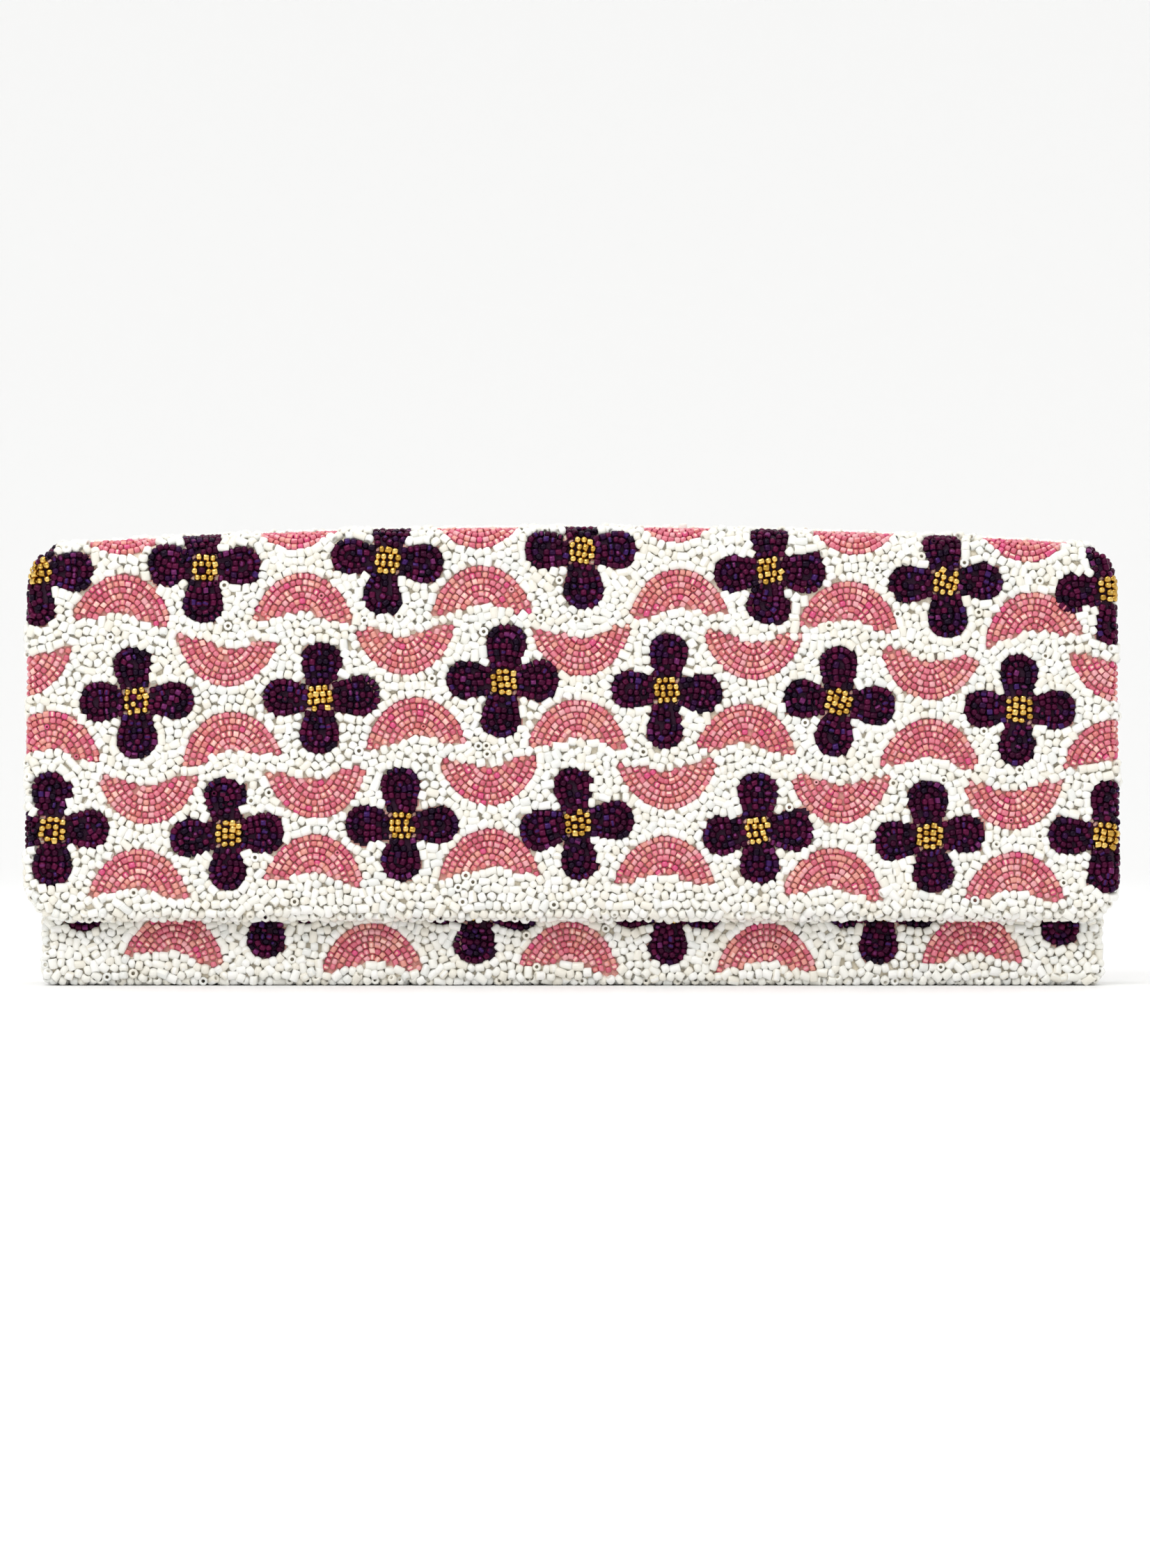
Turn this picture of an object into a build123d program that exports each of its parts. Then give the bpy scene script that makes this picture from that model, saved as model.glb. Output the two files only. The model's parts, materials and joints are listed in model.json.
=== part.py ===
"""Beaded clutch purse: a wedge-shaped body with a fold-over flap, every panel covered in glass beadwork.

Frame: +X along the width, -Y towards the flap's face, +Z up. The origin is the middle of the bounding box's base.
"""

from build123d import *
import math
import os

os.makedirs("parts", exist_ok=True)

# ---------------------------------------------------------------- driving dimensions, mm

body_width = 281.0
base_depth = 36.0  # body, front to back, at the base
mouth_depth = 20.0  # body, front to back, at the mouth
mouth_height = 108.0  # top edge of the front panel
gusset_top = 103.0
corner_radius = 4.0  # body's bottom corners, seen from the front

total_height = 122.0  # crest of the spine, at the middle of the width
crown = 5.0  # how much lower the spine is at its ends
spine_width = 279.0

flap_width = 290.0
flap_edge = 17.5  # height of the flap's lower edge
flap_low_radius = 11.0
flap_high_radius = 8.0
flap_gap = 2.0  # between the flap's lining and the front beadwork

bead = 2.0  # thickness of the beadwork
cloth = 0.6  # base cloth that the beads are sewn to
board = 1.2  # stiffeners
lining_cloth = 0.5
pad = 0.8  # soft padding under the spine's and the flap's cloth

crease_radius = 4.0  # the cloth's radius where it rolls over a crease
crease_gap = 1.4  # each side of a hinge line, left open between the rigid solids
hinge_rise = 0.7  # crest of the bowed crease above its straight hinge line

pocket_width = 110.0
pocket_low = 38.0
pocket_high = 96.0
pocket_reach = 2.0  # pocket's front sheet, behind the middle of the body

snap_height = 38.0
snap_radius = 8.0
snap_hole_radius = 3.4
snap_proud = 0.6  # socket above the beadwork
snap_wall = 0.5
stud_radius = 7.5
stud_disc = 1.0
pin_radius = 2.7
pin_tip_radius = 2.2
pin_length = 2.2
magnet_radius = 7.3
magnet_bore = 3.5
magnet_height = 1.55
washer_radius = 7.0
socket_washer_height = 0.8
stud_washer_height = 0.6
prong_spacing = 9.0
prong_width = 2.0
prong_thickness = 0.8
slit_margin = 0.2
bead_clearing = 0.3  # around the socket
board_clearing = 0.3  # around a washer
board_margin = 1.5  # boards stay this clear of the bag's rounded corners
plate_clearing = 0.1  # socket plate inside the cover

bead_edge_radius = 1.0
spine_edge_radius = 1.4
lining_corner = 1.2
cover_edge_radius = 0.45
overcut = 1.0  # how far a cutting shape runs past what it opens

# ---------------------------------------------------------------- worked out

half_body = body_width / 2
lean = (base_depth - mouth_depth) / 2 / mouth_height
lean_angle = math.atan(lean)
wall = bead + cloth + board + lining_cloth
flap_thickness = bead + cloth + pad + board + lining_cloth
spine_thickness = bead + cloth + pad + lining_cloth
inner_margin = bead + cloth + board_margin

# A crease's cloth is a quarter circle. Its hinge line lies where the flat lengths either side keep their sizes.
pivot_drop = crease_radius + bead - crease_radius * math.pi / 4
hinge_height = total_height - pivot_drop - hinge_rise


def level(depth):
    """A thickness measured square to a leaning panel, as a distance along Y."""
    return depth / math.cos(lean_angle)


front_reach = base_depth / 2 - lean * flap_edge + level(flap_gap + flap_thickness)
centre_y = (front_reach - base_depth / 2) / 2


def front_y(z, depth=0.0):
    """Y of the front panel at height z and at this depth under its bead surface."""
    return centre_y - base_depth / 2 + lean * z + level(depth)


def back_y(z, depth=0.0):
    """Y of the back panel at height z and at this depth under its bead surface."""
    return centre_y + base_depth / 2 - lean * z - level(depth)


def flap_y(z, depth=0.0):
    """Y of the flap at height z and at this depth under its bead surface."""
    return front_y(z, depth - flap_gap - flap_thickness)


back_hinge_y = back_y(hinge_height) - pivot_drop
front_hinge_y = flap_y(hinge_height) + pivot_drop
spine_back = back_hinge_y - crease_gap
spine_front = front_hinge_y + crease_gap
spine_middle = (spine_back + spine_front) / 2
panel_drop = pivot_drop + crease_gap  # top edge of the back and the flap, below the crest


def bow(half_width):
    """How far a crowned edge falls from its middle to this far along X."""
    return crown * (half_width / (flap_width / 2)) ** 2


# ---------------------------------------------------------------- shapes that repeat


def panel_outline(half_width, bottom, top, top_bow=0.0, low_radius=0.0, high_radius=0.0):
    """A panel seen from the front: rounded corners, and a top edge that rises by top_bow in the middle."""
    with BuildSketch(Plane.XZ) as outline:
        with BuildLine():
            Polyline((half_width, top), (half_width, bottom), (-half_width, bottom), (-half_width, top))
            if top_bow > 0:
                ThreePointArc((-half_width, top), (0, top + top_bow), (half_width, top))
            else:
                Line((-half_width, top), (half_width, top))
        make_face()
        if low_radius > 0:
            fillet(outline.vertices().group_by(Axis.Y)[0], low_radius)
        if high_radius > 0:
            fillet(outline.vertices().group_by(Axis.Y)[-1], high_radius)
    return outline.sketch


def leaning_slab(face_y, outer_depth, inner_depth, outline):
    """One layer of a leaning panel, between two depths, cut to an outline drawn from the front."""
    with BuildPart() as slab:
        with BuildSketch(Plane.YZ):
            with BuildLine():
                Polyline(
                    (face_y(0, outer_depth), 0),
                    (face_y(0, inner_depth), 0),
                    (face_y(total_height, inner_depth), total_height),
                    (face_y(total_height, outer_depth), total_height),
                    close=True,
                )
            make_face()
        extrude(amount=flap_width, both=True)
        extrude(outline, amount=2 * base_depth, both=True, mode=Mode.INTERSECT)
    return slab


def front_outline(inset, low_radius):
    return panel_outline(half_body - inset, inset, mouth_height, low_radius=low_radius)


def back_outline(inset, low_radius):
    half_width = half_body - inset
    top = total_height - panel_drop - bow(half_width)
    return panel_outline(half_width, inset, top, bow(half_width), low_radius)


def flap_outline(inset):
    half_width = flap_width / 2 - inset
    top = total_height - panel_drop - bow(half_width)
    radii = (flap_low_radius - inset, flap_high_radius - inset)
    return panel_outline(half_width, flap_edge + inset, top, bow(half_width), *radii)


def spine_slab(outer_drop, inner_drop):
    """One layer of the spine, bowed along its length, between two depths under its crest."""
    half_width = spine_width / 2
    fall = bow(half_width)
    outer = total_height - outer_drop
    inner = total_height - inner_drop
    with BuildPart() as slab:
        with BuildSketch(Plane.XZ.offset(-spine_middle)):
            with BuildLine():
                ThreePointArc((-half_width, outer - fall), (0, outer), (half_width, outer - fall))
                Line((half_width, outer - fall), (half_width, inner - fall))
                ThreePointArc((half_width, inner - fall), (0, inner), (-half_width, inner - fall))
                Line((-half_width, inner - fall), (-half_width, outer - fall))
            make_face()
        extrude(amount=(spine_back - spine_front) / 2, both=True)
    return slab


def gusset_strip(outer, inner, side_depth, x_low, x_high):
    """One layer of the strip that runs down one side, along the base and up the other.

    outer and inner are (side inset, base inset, corner radius). The strip fills the wedge between the front and the
    back panel at side_depth, and is kept between x_low and x_high.
    """
    outside = panel_outline(half_body - outer[0], outer[1], gusset_top, low_radius=outer[2])
    inside = panel_outline(half_body - inner[0], inner[1], gusset_top + overcut, low_radius=inner[2])
    with BuildPart() as strip:
        extrude(outside, amount=base_depth, both=True)
        extrude(inside, amount=base_depth, both=True, mode=Mode.SUBTRACT)
        with BuildSketch(Plane.YZ):
            with BuildLine():
                Polyline(
                    (front_y(0, side_depth), 0),
                    (back_y(0, side_depth), 0),
                    (back_y(gusset_top, side_depth), gusset_top),
                    (front_y(gusset_top, side_depth), gusset_top),
                    close=True,
                )
            make_face()
        extrude(amount=body_width, both=True, mode=Mode.INTERSECT)
        with Locations(((x_low + x_high) / 2, 0, 0)):
            Box(x_high - x_low, 4 * base_depth, 4 * mouth_height, mode=Mode.INTERSECT)
    return strip


snap_plane = Plane(
    origin=(0, front_y(snap_height), snap_height),
    x_dir=(1, 0, 0),
    z_dir=(0, -math.cos(lean_angle), math.sin(lean_angle)),
)  # on the front panel's bead surface, facing out of it


def draw_prongs(margin, mode=Mode.ADD):
    with Locations((-prong_spacing / 2, 0), (prong_spacing / 2, 0)):
        Rectangle(prong_thickness + margin, prong_width + margin, mode=mode)


def slotted_washer(plane, height):
    with BuildPart() as washer:
        with BuildSketch(plane):
            Circle(washer_radius)
            draw_prongs(slit_margin, Mode.SUBTRACT)
        extrude(amount=height)
    return washer


# ---------------------------------------------------------------- bag: beadwork

strip_corner = half_body - corner_radius
bead_outer = (0, 0, corner_radius)
bead_inner = (bead, bead, corner_radius - bead)
front_bead_slab = leaning_slab(front_y, 0, bead, front_outline(0, corner_radius))
back_bead_slab = leaning_slab(back_y, 0, bead, back_outline(0, corner_radius))

with BuildPart() as front_beadwork:
    add(front_bead_slab.part)
    outer_face = faces().sort_by(SortBy.AREA)[-2:].sort_by(Axis.Y)[0]
    fillet(outer_face.edges(), bead_edge_radius)
    with BuildSketch(snap_plane.offset(-2 * bead)):
        Circle(snap_radius + bead_clearing)
    extrude(amount=4 * bead, mode=Mode.SUBTRACT)

with BuildPart() as back_beadwork:
    add(back_bead_slab.part)
    outer_face = faces().sort_by(SortBy.AREA)[-2:].sort_by(Axis.Y)[-1]
    fillet(outer_face.edges(), bead_edge_radius)

base_beadwork = gusset_strip(bead_outer, bead_inner, bead, -strip_corner, strip_corner)
left_gusset_beadwork = gusset_strip(bead_outer, bead_inner, bead, -half_body, -strip_corner)
right_gusset_beadwork = gusset_strip(bead_outer, bead_inner, bead, strip_corner, half_body)

# ---------------------------------------------------------------- bag: base cloth

cloth_depth = bead + cloth
cloth_corner = corner_radius - bead
cloth_outer = (bead, bead, cloth_corner)
cloth_inner = (cloth_depth, cloth_depth, corner_radius - cloth_depth)
front_cloth_slab = leaning_slab(front_y, bead, cloth_depth, front_outline(bead, cloth_corner))

with BuildPart() as front_cloth:
    add(front_cloth_slab.part)
    with BuildSketch(snap_plane.offset(-2 * cloth_depth)):
        draw_prongs(slit_margin)
    extrude(amount=2 * cloth_depth, mode=Mode.SUBTRACT)

back_cloth = leaning_slab(back_y, bead, cloth_depth, back_outline(bead, cloth_corner))
base_cloth = gusset_strip(cloth_outer, cloth_inner, cloth_depth, -strip_corner, strip_corner)
left_gusset_cloth = gusset_strip(cloth_outer, cloth_inner, cloth_depth, -half_body, -strip_corner)
right_gusset_cloth = gusset_strip(cloth_outer, cloth_inner, cloth_depth, strip_corner, half_body)

# ---------------------------------------------------------------- bag: stiffeners and base board

board_depth = cloth_depth + board
front_board_slab = leaning_slab(front_y, cloth_depth, board_depth, front_outline(inner_margin, 0))

with BuildPart() as front_stiffener:
    add(front_board_slab.part)
    with BuildSketch(snap_plane.offset(-2 * board_depth)):
        Circle(washer_radius + board_clearing)
    extrude(amount=2 * board_depth, mode=Mode.SUBTRACT)

back_stiffener = leaning_slab(back_y, cloth_depth, board_depth, back_outline(inner_margin, 0))

with BuildPart() as base_board:
    with BuildSketch(Plane.YZ):
        with BuildLine():
            Polyline(
                (front_y(cloth_depth, board_depth), cloth_depth),
                (back_y(cloth_depth, board_depth), cloth_depth),
                (back_y(board_depth, board_depth), board_depth),
                (front_y(board_depth, board_depth), board_depth),
                close=True,
            )
        make_face()
    extrude(amount=half_body - inner_margin, both=True)

# ---------------------------------------------------------------- bag: lining and slip pocket

lining_outer = (cloth_depth, board_depth, lining_corner)
lining_inner = (cloth_depth + lining_cloth, wall, lining_corner - lining_cloth)
lining_outline = panel_outline(
    half_body - cloth_depth, board_depth, mouth_height, low_radius=lining_corner
)
lining_strip = gusset_strip(lining_outer, lining_inner, board_depth, -half_body, half_body)
lining_front = leaning_slab(front_y, board_depth, wall, lining_outline)
lining_back = leaning_slab(back_y, board_depth, wall, lining_outline)

with BuildPart() as lining:
    add(lining_strip.part)
    add(lining_front.part)
    add(lining_back.part)

pocket_y = centre_y + pocket_reach

with BuildPart() as slip_pocket:
    with BuildSketch(Plane.YZ):
        with BuildLine():
            Polyline(
                (pocket_y - lining_cloth, pocket_low),
                (back_y(pocket_low, wall), pocket_low),
                (back_y(pocket_high, wall), pocket_high),
                (pocket_y - lining_cloth, pocket_high),
                close=True,
            )
        make_face()
    extrude(amount=pocket_width / 2, both=True)
    with BuildSketch(Plane.YZ):
        with BuildLine():
            Polyline(
                (pocket_y, pocket_low + lining_cloth),
                (pocket_y + base_depth, pocket_low + lining_cloth),
                (pocket_y + base_depth, pocket_high + overcut),
                (pocket_y, pocket_high + overcut),
                close=True,
            )
        make_face()
    extrude(amount=pocket_width / 2 - lining_cloth, both=True, mode=Mode.SUBTRACT)

# ---------------------------------------------------------------- bag: socket half of the magnetic snap

with BuildPart() as socket_plate:
    with BuildSketch(snap_plane.offset(-bead)):
        Circle(snap_radius - snap_wall - plate_clearing)
    extrude(amount=snap_wall)
    with BuildSketch(snap_plane.offset(-cloth_depth - socket_washer_height)):
        draw_prongs(0)
    extrude(amount=cloth + socket_washer_height)

with BuildPart() as snap_magnet:
    with BuildSketch(snap_plane.offset(snap_wall - bead)):
        Circle(magnet_radius)
        Circle(magnet_bore, mode=Mode.SUBTRACT)
    extrude(amount=magnet_height)

with BuildPart() as socket_cover:
    with BuildSketch(snap_plane.offset(-bead)):
        Circle(snap_radius)
    extrude(amount=bead + snap_proud)
    top_face = faces().sort_by(SortBy.AREA)[-2:].sort_by(Axis.Y)[0]
    fillet(top_face.edges(), cover_edge_radius)
    with BuildSketch(snap_plane.offset(-bead)):
        Circle(snap_radius - snap_wall)
    extrude(amount=bead + snap_proud - snap_wall, mode=Mode.SUBTRACT)
    with BuildSketch(snap_plane.offset(-bead)):
        Circle(snap_hole_radius)
    extrude(amount=2 * bead, mode=Mode.SUBTRACT)

socket_washer = slotted_washer(
    snap_plane.offset(-cloth_depth - socket_washer_height), socket_washer_height
)

# ---------------------------------------------------------------- spine

spine_bead_slab = spine_slab(0, bead)

with BuildPart() as spine_beadwork:
    add(spine_bead_slab.part)
    fillet(faces().sort_by(Axis.Z)[-1].edges(), spine_edge_radius)

spine_cloth = spine_slab(bead, cloth_depth)
spine_padding = spine_slab(cloth_depth, cloth_depth + pad)
spine_lining = spine_slab(cloth_depth + pad, spine_thickness)

# ---------------------------------------------------------------- flap

pad_depth = cloth_depth + pad
flap_board_depth = pad_depth + board
flap_slab = leaning_slab(flap_y, 0, flap_thickness, flap_outline(0))
core_outline = panel_outline(
    flap_width / 2 - bead, flap_edge + bead, total_height, low_radius=flap_low_radius - bead
)
flap_core = leaning_slab(flap_y, bead, flap_thickness + bead, core_outline)
flap_board_slab = leaning_slab(flap_y, pad_depth, flap_board_depth, flap_outline(bead))
flap_lining_slab = leaning_slab(flap_y, flap_board_depth, flap_thickness, flap_outline(bead))

with BuildPart() as flap_beadwork:
    add(flap_slab.part)
    outer_face = faces().sort_by(SortBy.AREA)[-2:].sort_by(Axis.Y)[0]
    fillet(outer_face.edges().sort_by(Axis.Z)[:-1], bead_edge_radius)
    add(flap_core.part, mode=Mode.SUBTRACT)

flap_cloth = leaning_slab(flap_y, bead, cloth_depth, flap_outline(bead))
flap_padding = leaning_slab(flap_y, cloth_depth, pad_depth, flap_outline(bead))

with BuildPart() as flap_stiffener:
    add(flap_board_slab.part)
    with BuildSketch(snap_plane):
        Circle(washer_radius + board_clearing)
    extrude(amount=flap_gap + lining_cloth + board, mode=Mode.SUBTRACT)

with BuildPart() as flap_lining:
    add(flap_lining_slab.part)
    with BuildSketch(snap_plane):
        draw_prongs(slit_margin)
    extrude(amount=flap_gap + flap_thickness, mode=Mode.SUBTRACT)

# ---------------------------------------------------------------- flap: stud half of the magnetic snap

with BuildPart() as snap_stud:
    with BuildSketch(snap_plane.offset(flap_gap - stud_disc)):
        Circle(stud_radius)
    extrude(amount=stud_disc)
    with BuildSketch(snap_plane.offset(flap_gap - stud_disc)):
        Circle(pin_radius)
    with BuildSketch(snap_plane.offset(flap_gap - stud_disc - pin_length)):
        Circle(pin_tip_radius)
    loft()
    with BuildSketch(snap_plane.offset(flap_gap)):
        draw_prongs(0)
    extrude(amount=lining_cloth + stud_washer_height)

stud_washer = slotted_washer(snap_plane.offset(flap_gap + lining_cloth), stud_washer_height)

# ---------------------------------------------------------------- labels and files

pieces = {
    "front_beadwork": front_beadwork,
    "back_beadwork": back_beadwork,
    "base_beadwork": base_beadwork,
    "left_gusset_beadwork": left_gusset_beadwork,
    "right_gusset_beadwork": right_gusset_beadwork,
    "front_cloth": front_cloth,
    "back_cloth": back_cloth,
    "base_cloth": base_cloth,
    "left_gusset_cloth": left_gusset_cloth,
    "right_gusset_cloth": right_gusset_cloth,
    "front_stiffener": front_stiffener,
    "back_stiffener": back_stiffener,
    "base_board": base_board,
    "lining": lining,
    "slip_pocket": slip_pocket,
    "socket_plate": socket_plate,
    "snap_magnet": snap_magnet,
    "socket_cover": socket_cover,
    "socket_washer": socket_washer,
    "spine_beadwork": spine_beadwork,
    "spine_cloth": spine_cloth,
    "spine_padding": spine_padding,
    "spine_lining": spine_lining,
    "flap_beadwork": flap_beadwork,
    "flap_cloth": flap_cloth,
    "flap_padding": flap_padding,
    "flap_stiffener": flap_stiffener,
    "flap_lining": flap_lining,
    "snap_stud": snap_stud,
    "stud_washer": stud_washer,
}

for label, piece in pieces.items():
    piece.part.label = label
    export_step(piece.part, f"parts/{label}.step")
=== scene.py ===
"""Beaded clutch purse: glass beads, base cloth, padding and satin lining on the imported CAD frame."""

import json
import math
from functools import partial

import bpy
import numpy as np
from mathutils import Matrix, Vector


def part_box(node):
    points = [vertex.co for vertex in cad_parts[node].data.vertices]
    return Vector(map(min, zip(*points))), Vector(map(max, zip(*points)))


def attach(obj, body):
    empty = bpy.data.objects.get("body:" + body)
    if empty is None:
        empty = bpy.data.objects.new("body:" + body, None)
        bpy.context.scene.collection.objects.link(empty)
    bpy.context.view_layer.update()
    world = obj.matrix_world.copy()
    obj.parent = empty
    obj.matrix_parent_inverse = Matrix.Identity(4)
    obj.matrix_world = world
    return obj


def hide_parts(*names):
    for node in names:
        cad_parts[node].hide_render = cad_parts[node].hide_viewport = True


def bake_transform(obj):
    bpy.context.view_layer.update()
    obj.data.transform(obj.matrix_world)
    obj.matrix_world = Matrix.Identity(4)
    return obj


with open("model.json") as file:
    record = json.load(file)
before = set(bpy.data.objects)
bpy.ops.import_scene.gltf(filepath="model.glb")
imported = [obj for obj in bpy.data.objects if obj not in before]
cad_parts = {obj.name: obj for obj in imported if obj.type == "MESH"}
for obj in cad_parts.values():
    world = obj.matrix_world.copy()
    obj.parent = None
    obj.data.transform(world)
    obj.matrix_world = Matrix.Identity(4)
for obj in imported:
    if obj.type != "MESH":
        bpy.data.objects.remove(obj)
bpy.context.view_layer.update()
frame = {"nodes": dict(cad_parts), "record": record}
record = frame["record"]
MM = 0.001
rng = np.random.default_rng(20)

# -------------------- sizes, mm


def cad_box(*nodes):
    """Lowest and highest corner of some CAD nodes together."""
    boxes = [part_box(node) for node in nodes]
    low = np.min([np.array(b[0]) for b in boxes], axis=0) / MM
    high = np.max([np.array(b[1]) for b in boxes], axis=0) / MM
    return low, high


HALF_BODY = cad_box("front_beadwork")[1][0]
HALF_FLAP = cad_box("flap_beadwork")[1][0]
HALF_SPINE = cad_box("spine_beadwork")[1][0]
FLAP_EDGE = cad_box("flap_beadwork")[0][2]
MOUTH = cad_box("front_beadwork")[1][2]
GUSSET_TOP = cad_box("left_gusset_beadwork")[1][2]
CREST = cad_box("spine_beadwork")[1][2]
CENTRE_Y = record["mounts"][0]["pos_m"][1] / MM

BASE_DEPTH = 36.0
MOUTH_DEPTH = 20.0
CROWN = 5.0  # the spine is this much lower at its ends
BEADS = 2.0  # layers, from the outside in
CLOTH = 0.6
PAD = 0.8
BOARD = 1.2
LINING = 0.5
WALL = BEADS + CLOTH + BOARD + LINING
FLAP_LAYERS = WALL + PAD
FLAP_GAP = 2.0
CREASE = 6.0  # radius of a crease at the beads' outside
LEAN = (BASE_DEPTH - MOUTH_DEPTH) / 2 / MOUTH
THETA = math.atan(LEAN)
COS, SIN = math.cos(THETA), math.sin(THETA)
REACH_BODY = BASE_DEPTH / 2
REACH_FLAP = BASE_DEPTH / 2 + (FLAP_GAP + FLAP_LAYERS) / COS

SEAT = 0.95  # depth of the beads' centres under the beadwork's outside
BEND = CREASE - SEAT
QUARTER = math.pi / 2 - THETA

# -------------------- the surfaces that beads and cloth follow
# Each takes flat coordinates and returns points, the two directions along the surface, and the normal.


def stack(x, y, z):
    return np.stack(np.broadcast_arrays(x, y, z), axis=-1)


def crest_at(x):
    return CREST - CROWN * (x / HALF_FLAP) ** 2


def arc_centre(x, side, reach):
    z = crest_at(x) - CREASE
    return CENTRE_Y + side * (reach - LEAN * z - CREASE / COS), z


def arc_start(x):
    """Length up a leaning panel from z = 0 to where it starts to roll over its crease."""
    return (crest_at(x) - CREASE + BEND * SIN) / COS


def half_spine(x):
    """Length of the flat top between the middle of the spine and a crease."""
    front, _ = arc_centre(x, -1, REACH_FLAP)
    back, _ = arc_centre(x, 1, REACH_BODY)
    return (back - front) / 2


def middle_at(x):
    """Length up a panel, over its crease and on to the middle of the spine."""
    return arc_start(x) + BEND * QUARTER + half_spine(x)


def rolled(x, up, side, reach):
    yc, zc = arc_centre(x, side, reach)
    start = arc_start(x)
    turn = THETA + np.clip((up - start) / BEND, 0, QUARTER)
    beyond = np.minimum(up - start, 0) + np.maximum(up - start - BEND * QUARTER, 0)
    cos, sin = np.cos(turn), np.sin(turn)
    y = yc + side * (BEND * cos - beyond * sin)
    z = zc + BEND * sin + beyond * cos
    return stack(x, y, z), stack(0 * x, -side * sin, cos), stack(0 * x, side * cos, sin)


def strip(x, s):
    """Flap, spine and back in one: s runs from the middle of the spine, forwards and down the flap."""
    front = rolled(x, middle_at(x) - s, -1, REACH_FLAP)
    back = rolled(x, middle_at(x) + s, 1, REACH_BODY)
    ahead = (s >= 0)[..., None]
    point = np.where(ahead, front[0], back[0])
    along = np.where(ahead, -front[1], back[1])
    return point, stack(1 + 0 * x, 0 * x, 0 * x), along, np.where(ahead, front[2], back[2])


def front_panel(x, up):
    z = up * COS
    y = CENTRE_Y - REACH_BODY + LEAN * z + SEAT / COS
    one = 1 + 0 * x
    return stack(x, y, z), stack(one, 0, 0), stack(0 * x, SIN, COS), stack(0 * x, -COS, SIN)


GIRTH_CORNER = 4.0
GIRTH_FLAT = HALF_BODY - GIRTH_CORNER
GIRTH_TURN = (GIRTH_CORNER - SEAT) * math.pi / 2
GIRTH_END = GIRTH_FLAT + GIRTH_TURN + GUSSET_TOP - GIRTH_CORNER


def girth(u, v):
    """Base and gussets: u runs from the base's middle to and up the right side, v towards the back."""
    side = np.where(u < 0, -1.0, 1.0)
    radius = GIRTH_CORNER - SEAT
    angle = np.clip((np.abs(u) - GIRTH_FLAT) / radius, 0, math.pi / 2)
    x = side * (np.minimum(np.abs(u), GIRTH_FLAT) + radius * np.sin(angle))
    z = GIRTH_CORNER - radius * np.cos(angle) + np.maximum(np.abs(u) - GIRTH_FLAT - GIRTH_TURN, 0)
    along = stack(np.cos(angle), 0 * u, side * np.sin(angle))
    out = stack(side * np.sin(angle), 0 * u, -np.cos(angle))
    return stack(x, CENTRE_Y + v, z), along, stack(0 * u, 1, 0), out


# -------------------- rims: how far inside, and which way is out


def rounded(x, up, half, low, radius):
    """Distance inside a panel with rounded lower corners and no top, and the way out."""
    qx = np.abs(x) - (half - radius)
    qu = low + radius - up
    corner = (qx > 0) & (qu > 0)
    far = np.hypot(np.maximum(qx, 0), np.maximum(qu, 0)) + np.minimum(np.maximum(qx, qu), 0)
    size = np.maximum(np.hypot(qx, qu), 1e-6)
    ox = np.where(corner, qx / size, np.where(qx > qu, 1.0, 0.0)) * np.sign(x)
    ou = np.where(corner, -qu / size, np.where(qx > qu, 0.0, -1.0))
    return radius - far, ox, ou


SHOULDER_LOW = 8.0  # the flap's upper corners start this far under the crease's roll
SHOULDER_HIGH = 4.0
FLAP_CORNER = 11.0
FLAP_LOW = FLAP_EDGE / COS


def flap_half(x, up):
    """The flap's half width, which draws in to the spine's at its upper corners."""
    climb = (up - arc_start(x) + SHOULDER_LOW) / (SHOULDER_LOW + SHOULDER_HIGH)
    return HALF_SPINE + (HALF_FLAP - HALF_SPINE) * np.sqrt(1 - np.clip(climb, 0, 1) ** 2)


def strip_rim(x, s):
    up_front = middle_at(x) - s
    up_back = middle_at(x) + s
    front = rounded(x, up_front, flap_half(x, up_front), FLAP_LOW, FLAP_CORNER)
    back = rounded(x, up_back, HALF_SPINE + 0 * x, 0.0, GIRTH_CORNER)
    ahead = s >= 0
    inside, ox, ou = (np.where(ahead, f, b) for f, b in zip(front, back))
    return inside, ox, np.where(ahead, -ou, ou)


MOUTH_UP = MOUTH / COS


def front_rim(x, up):
    inside, ox, ou = rounded(x, up, HALF_BODY, 0.0, GIRTH_CORNER)
    below_top = MOUTH_UP - up
    top = below_top < inside
    return np.where(top, below_top, inside), np.where(top, 0, ox), np.where(top, 1, ou)


def girth_rim(u, v):
    return GIRTH_END - np.abs(u), np.sign(u), 0 * v


def girth_half(u):
    """Half the depth that is left for the base and gussets between the front and the back beadwork."""
    z = np.maximum(np.abs(u) - GIRTH_FLAT - GIRTH_TURN, 0) + GIRTH_CORNER
    return REACH_BODY - LEAN * z - (BEADS + SEAT) / COS


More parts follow.
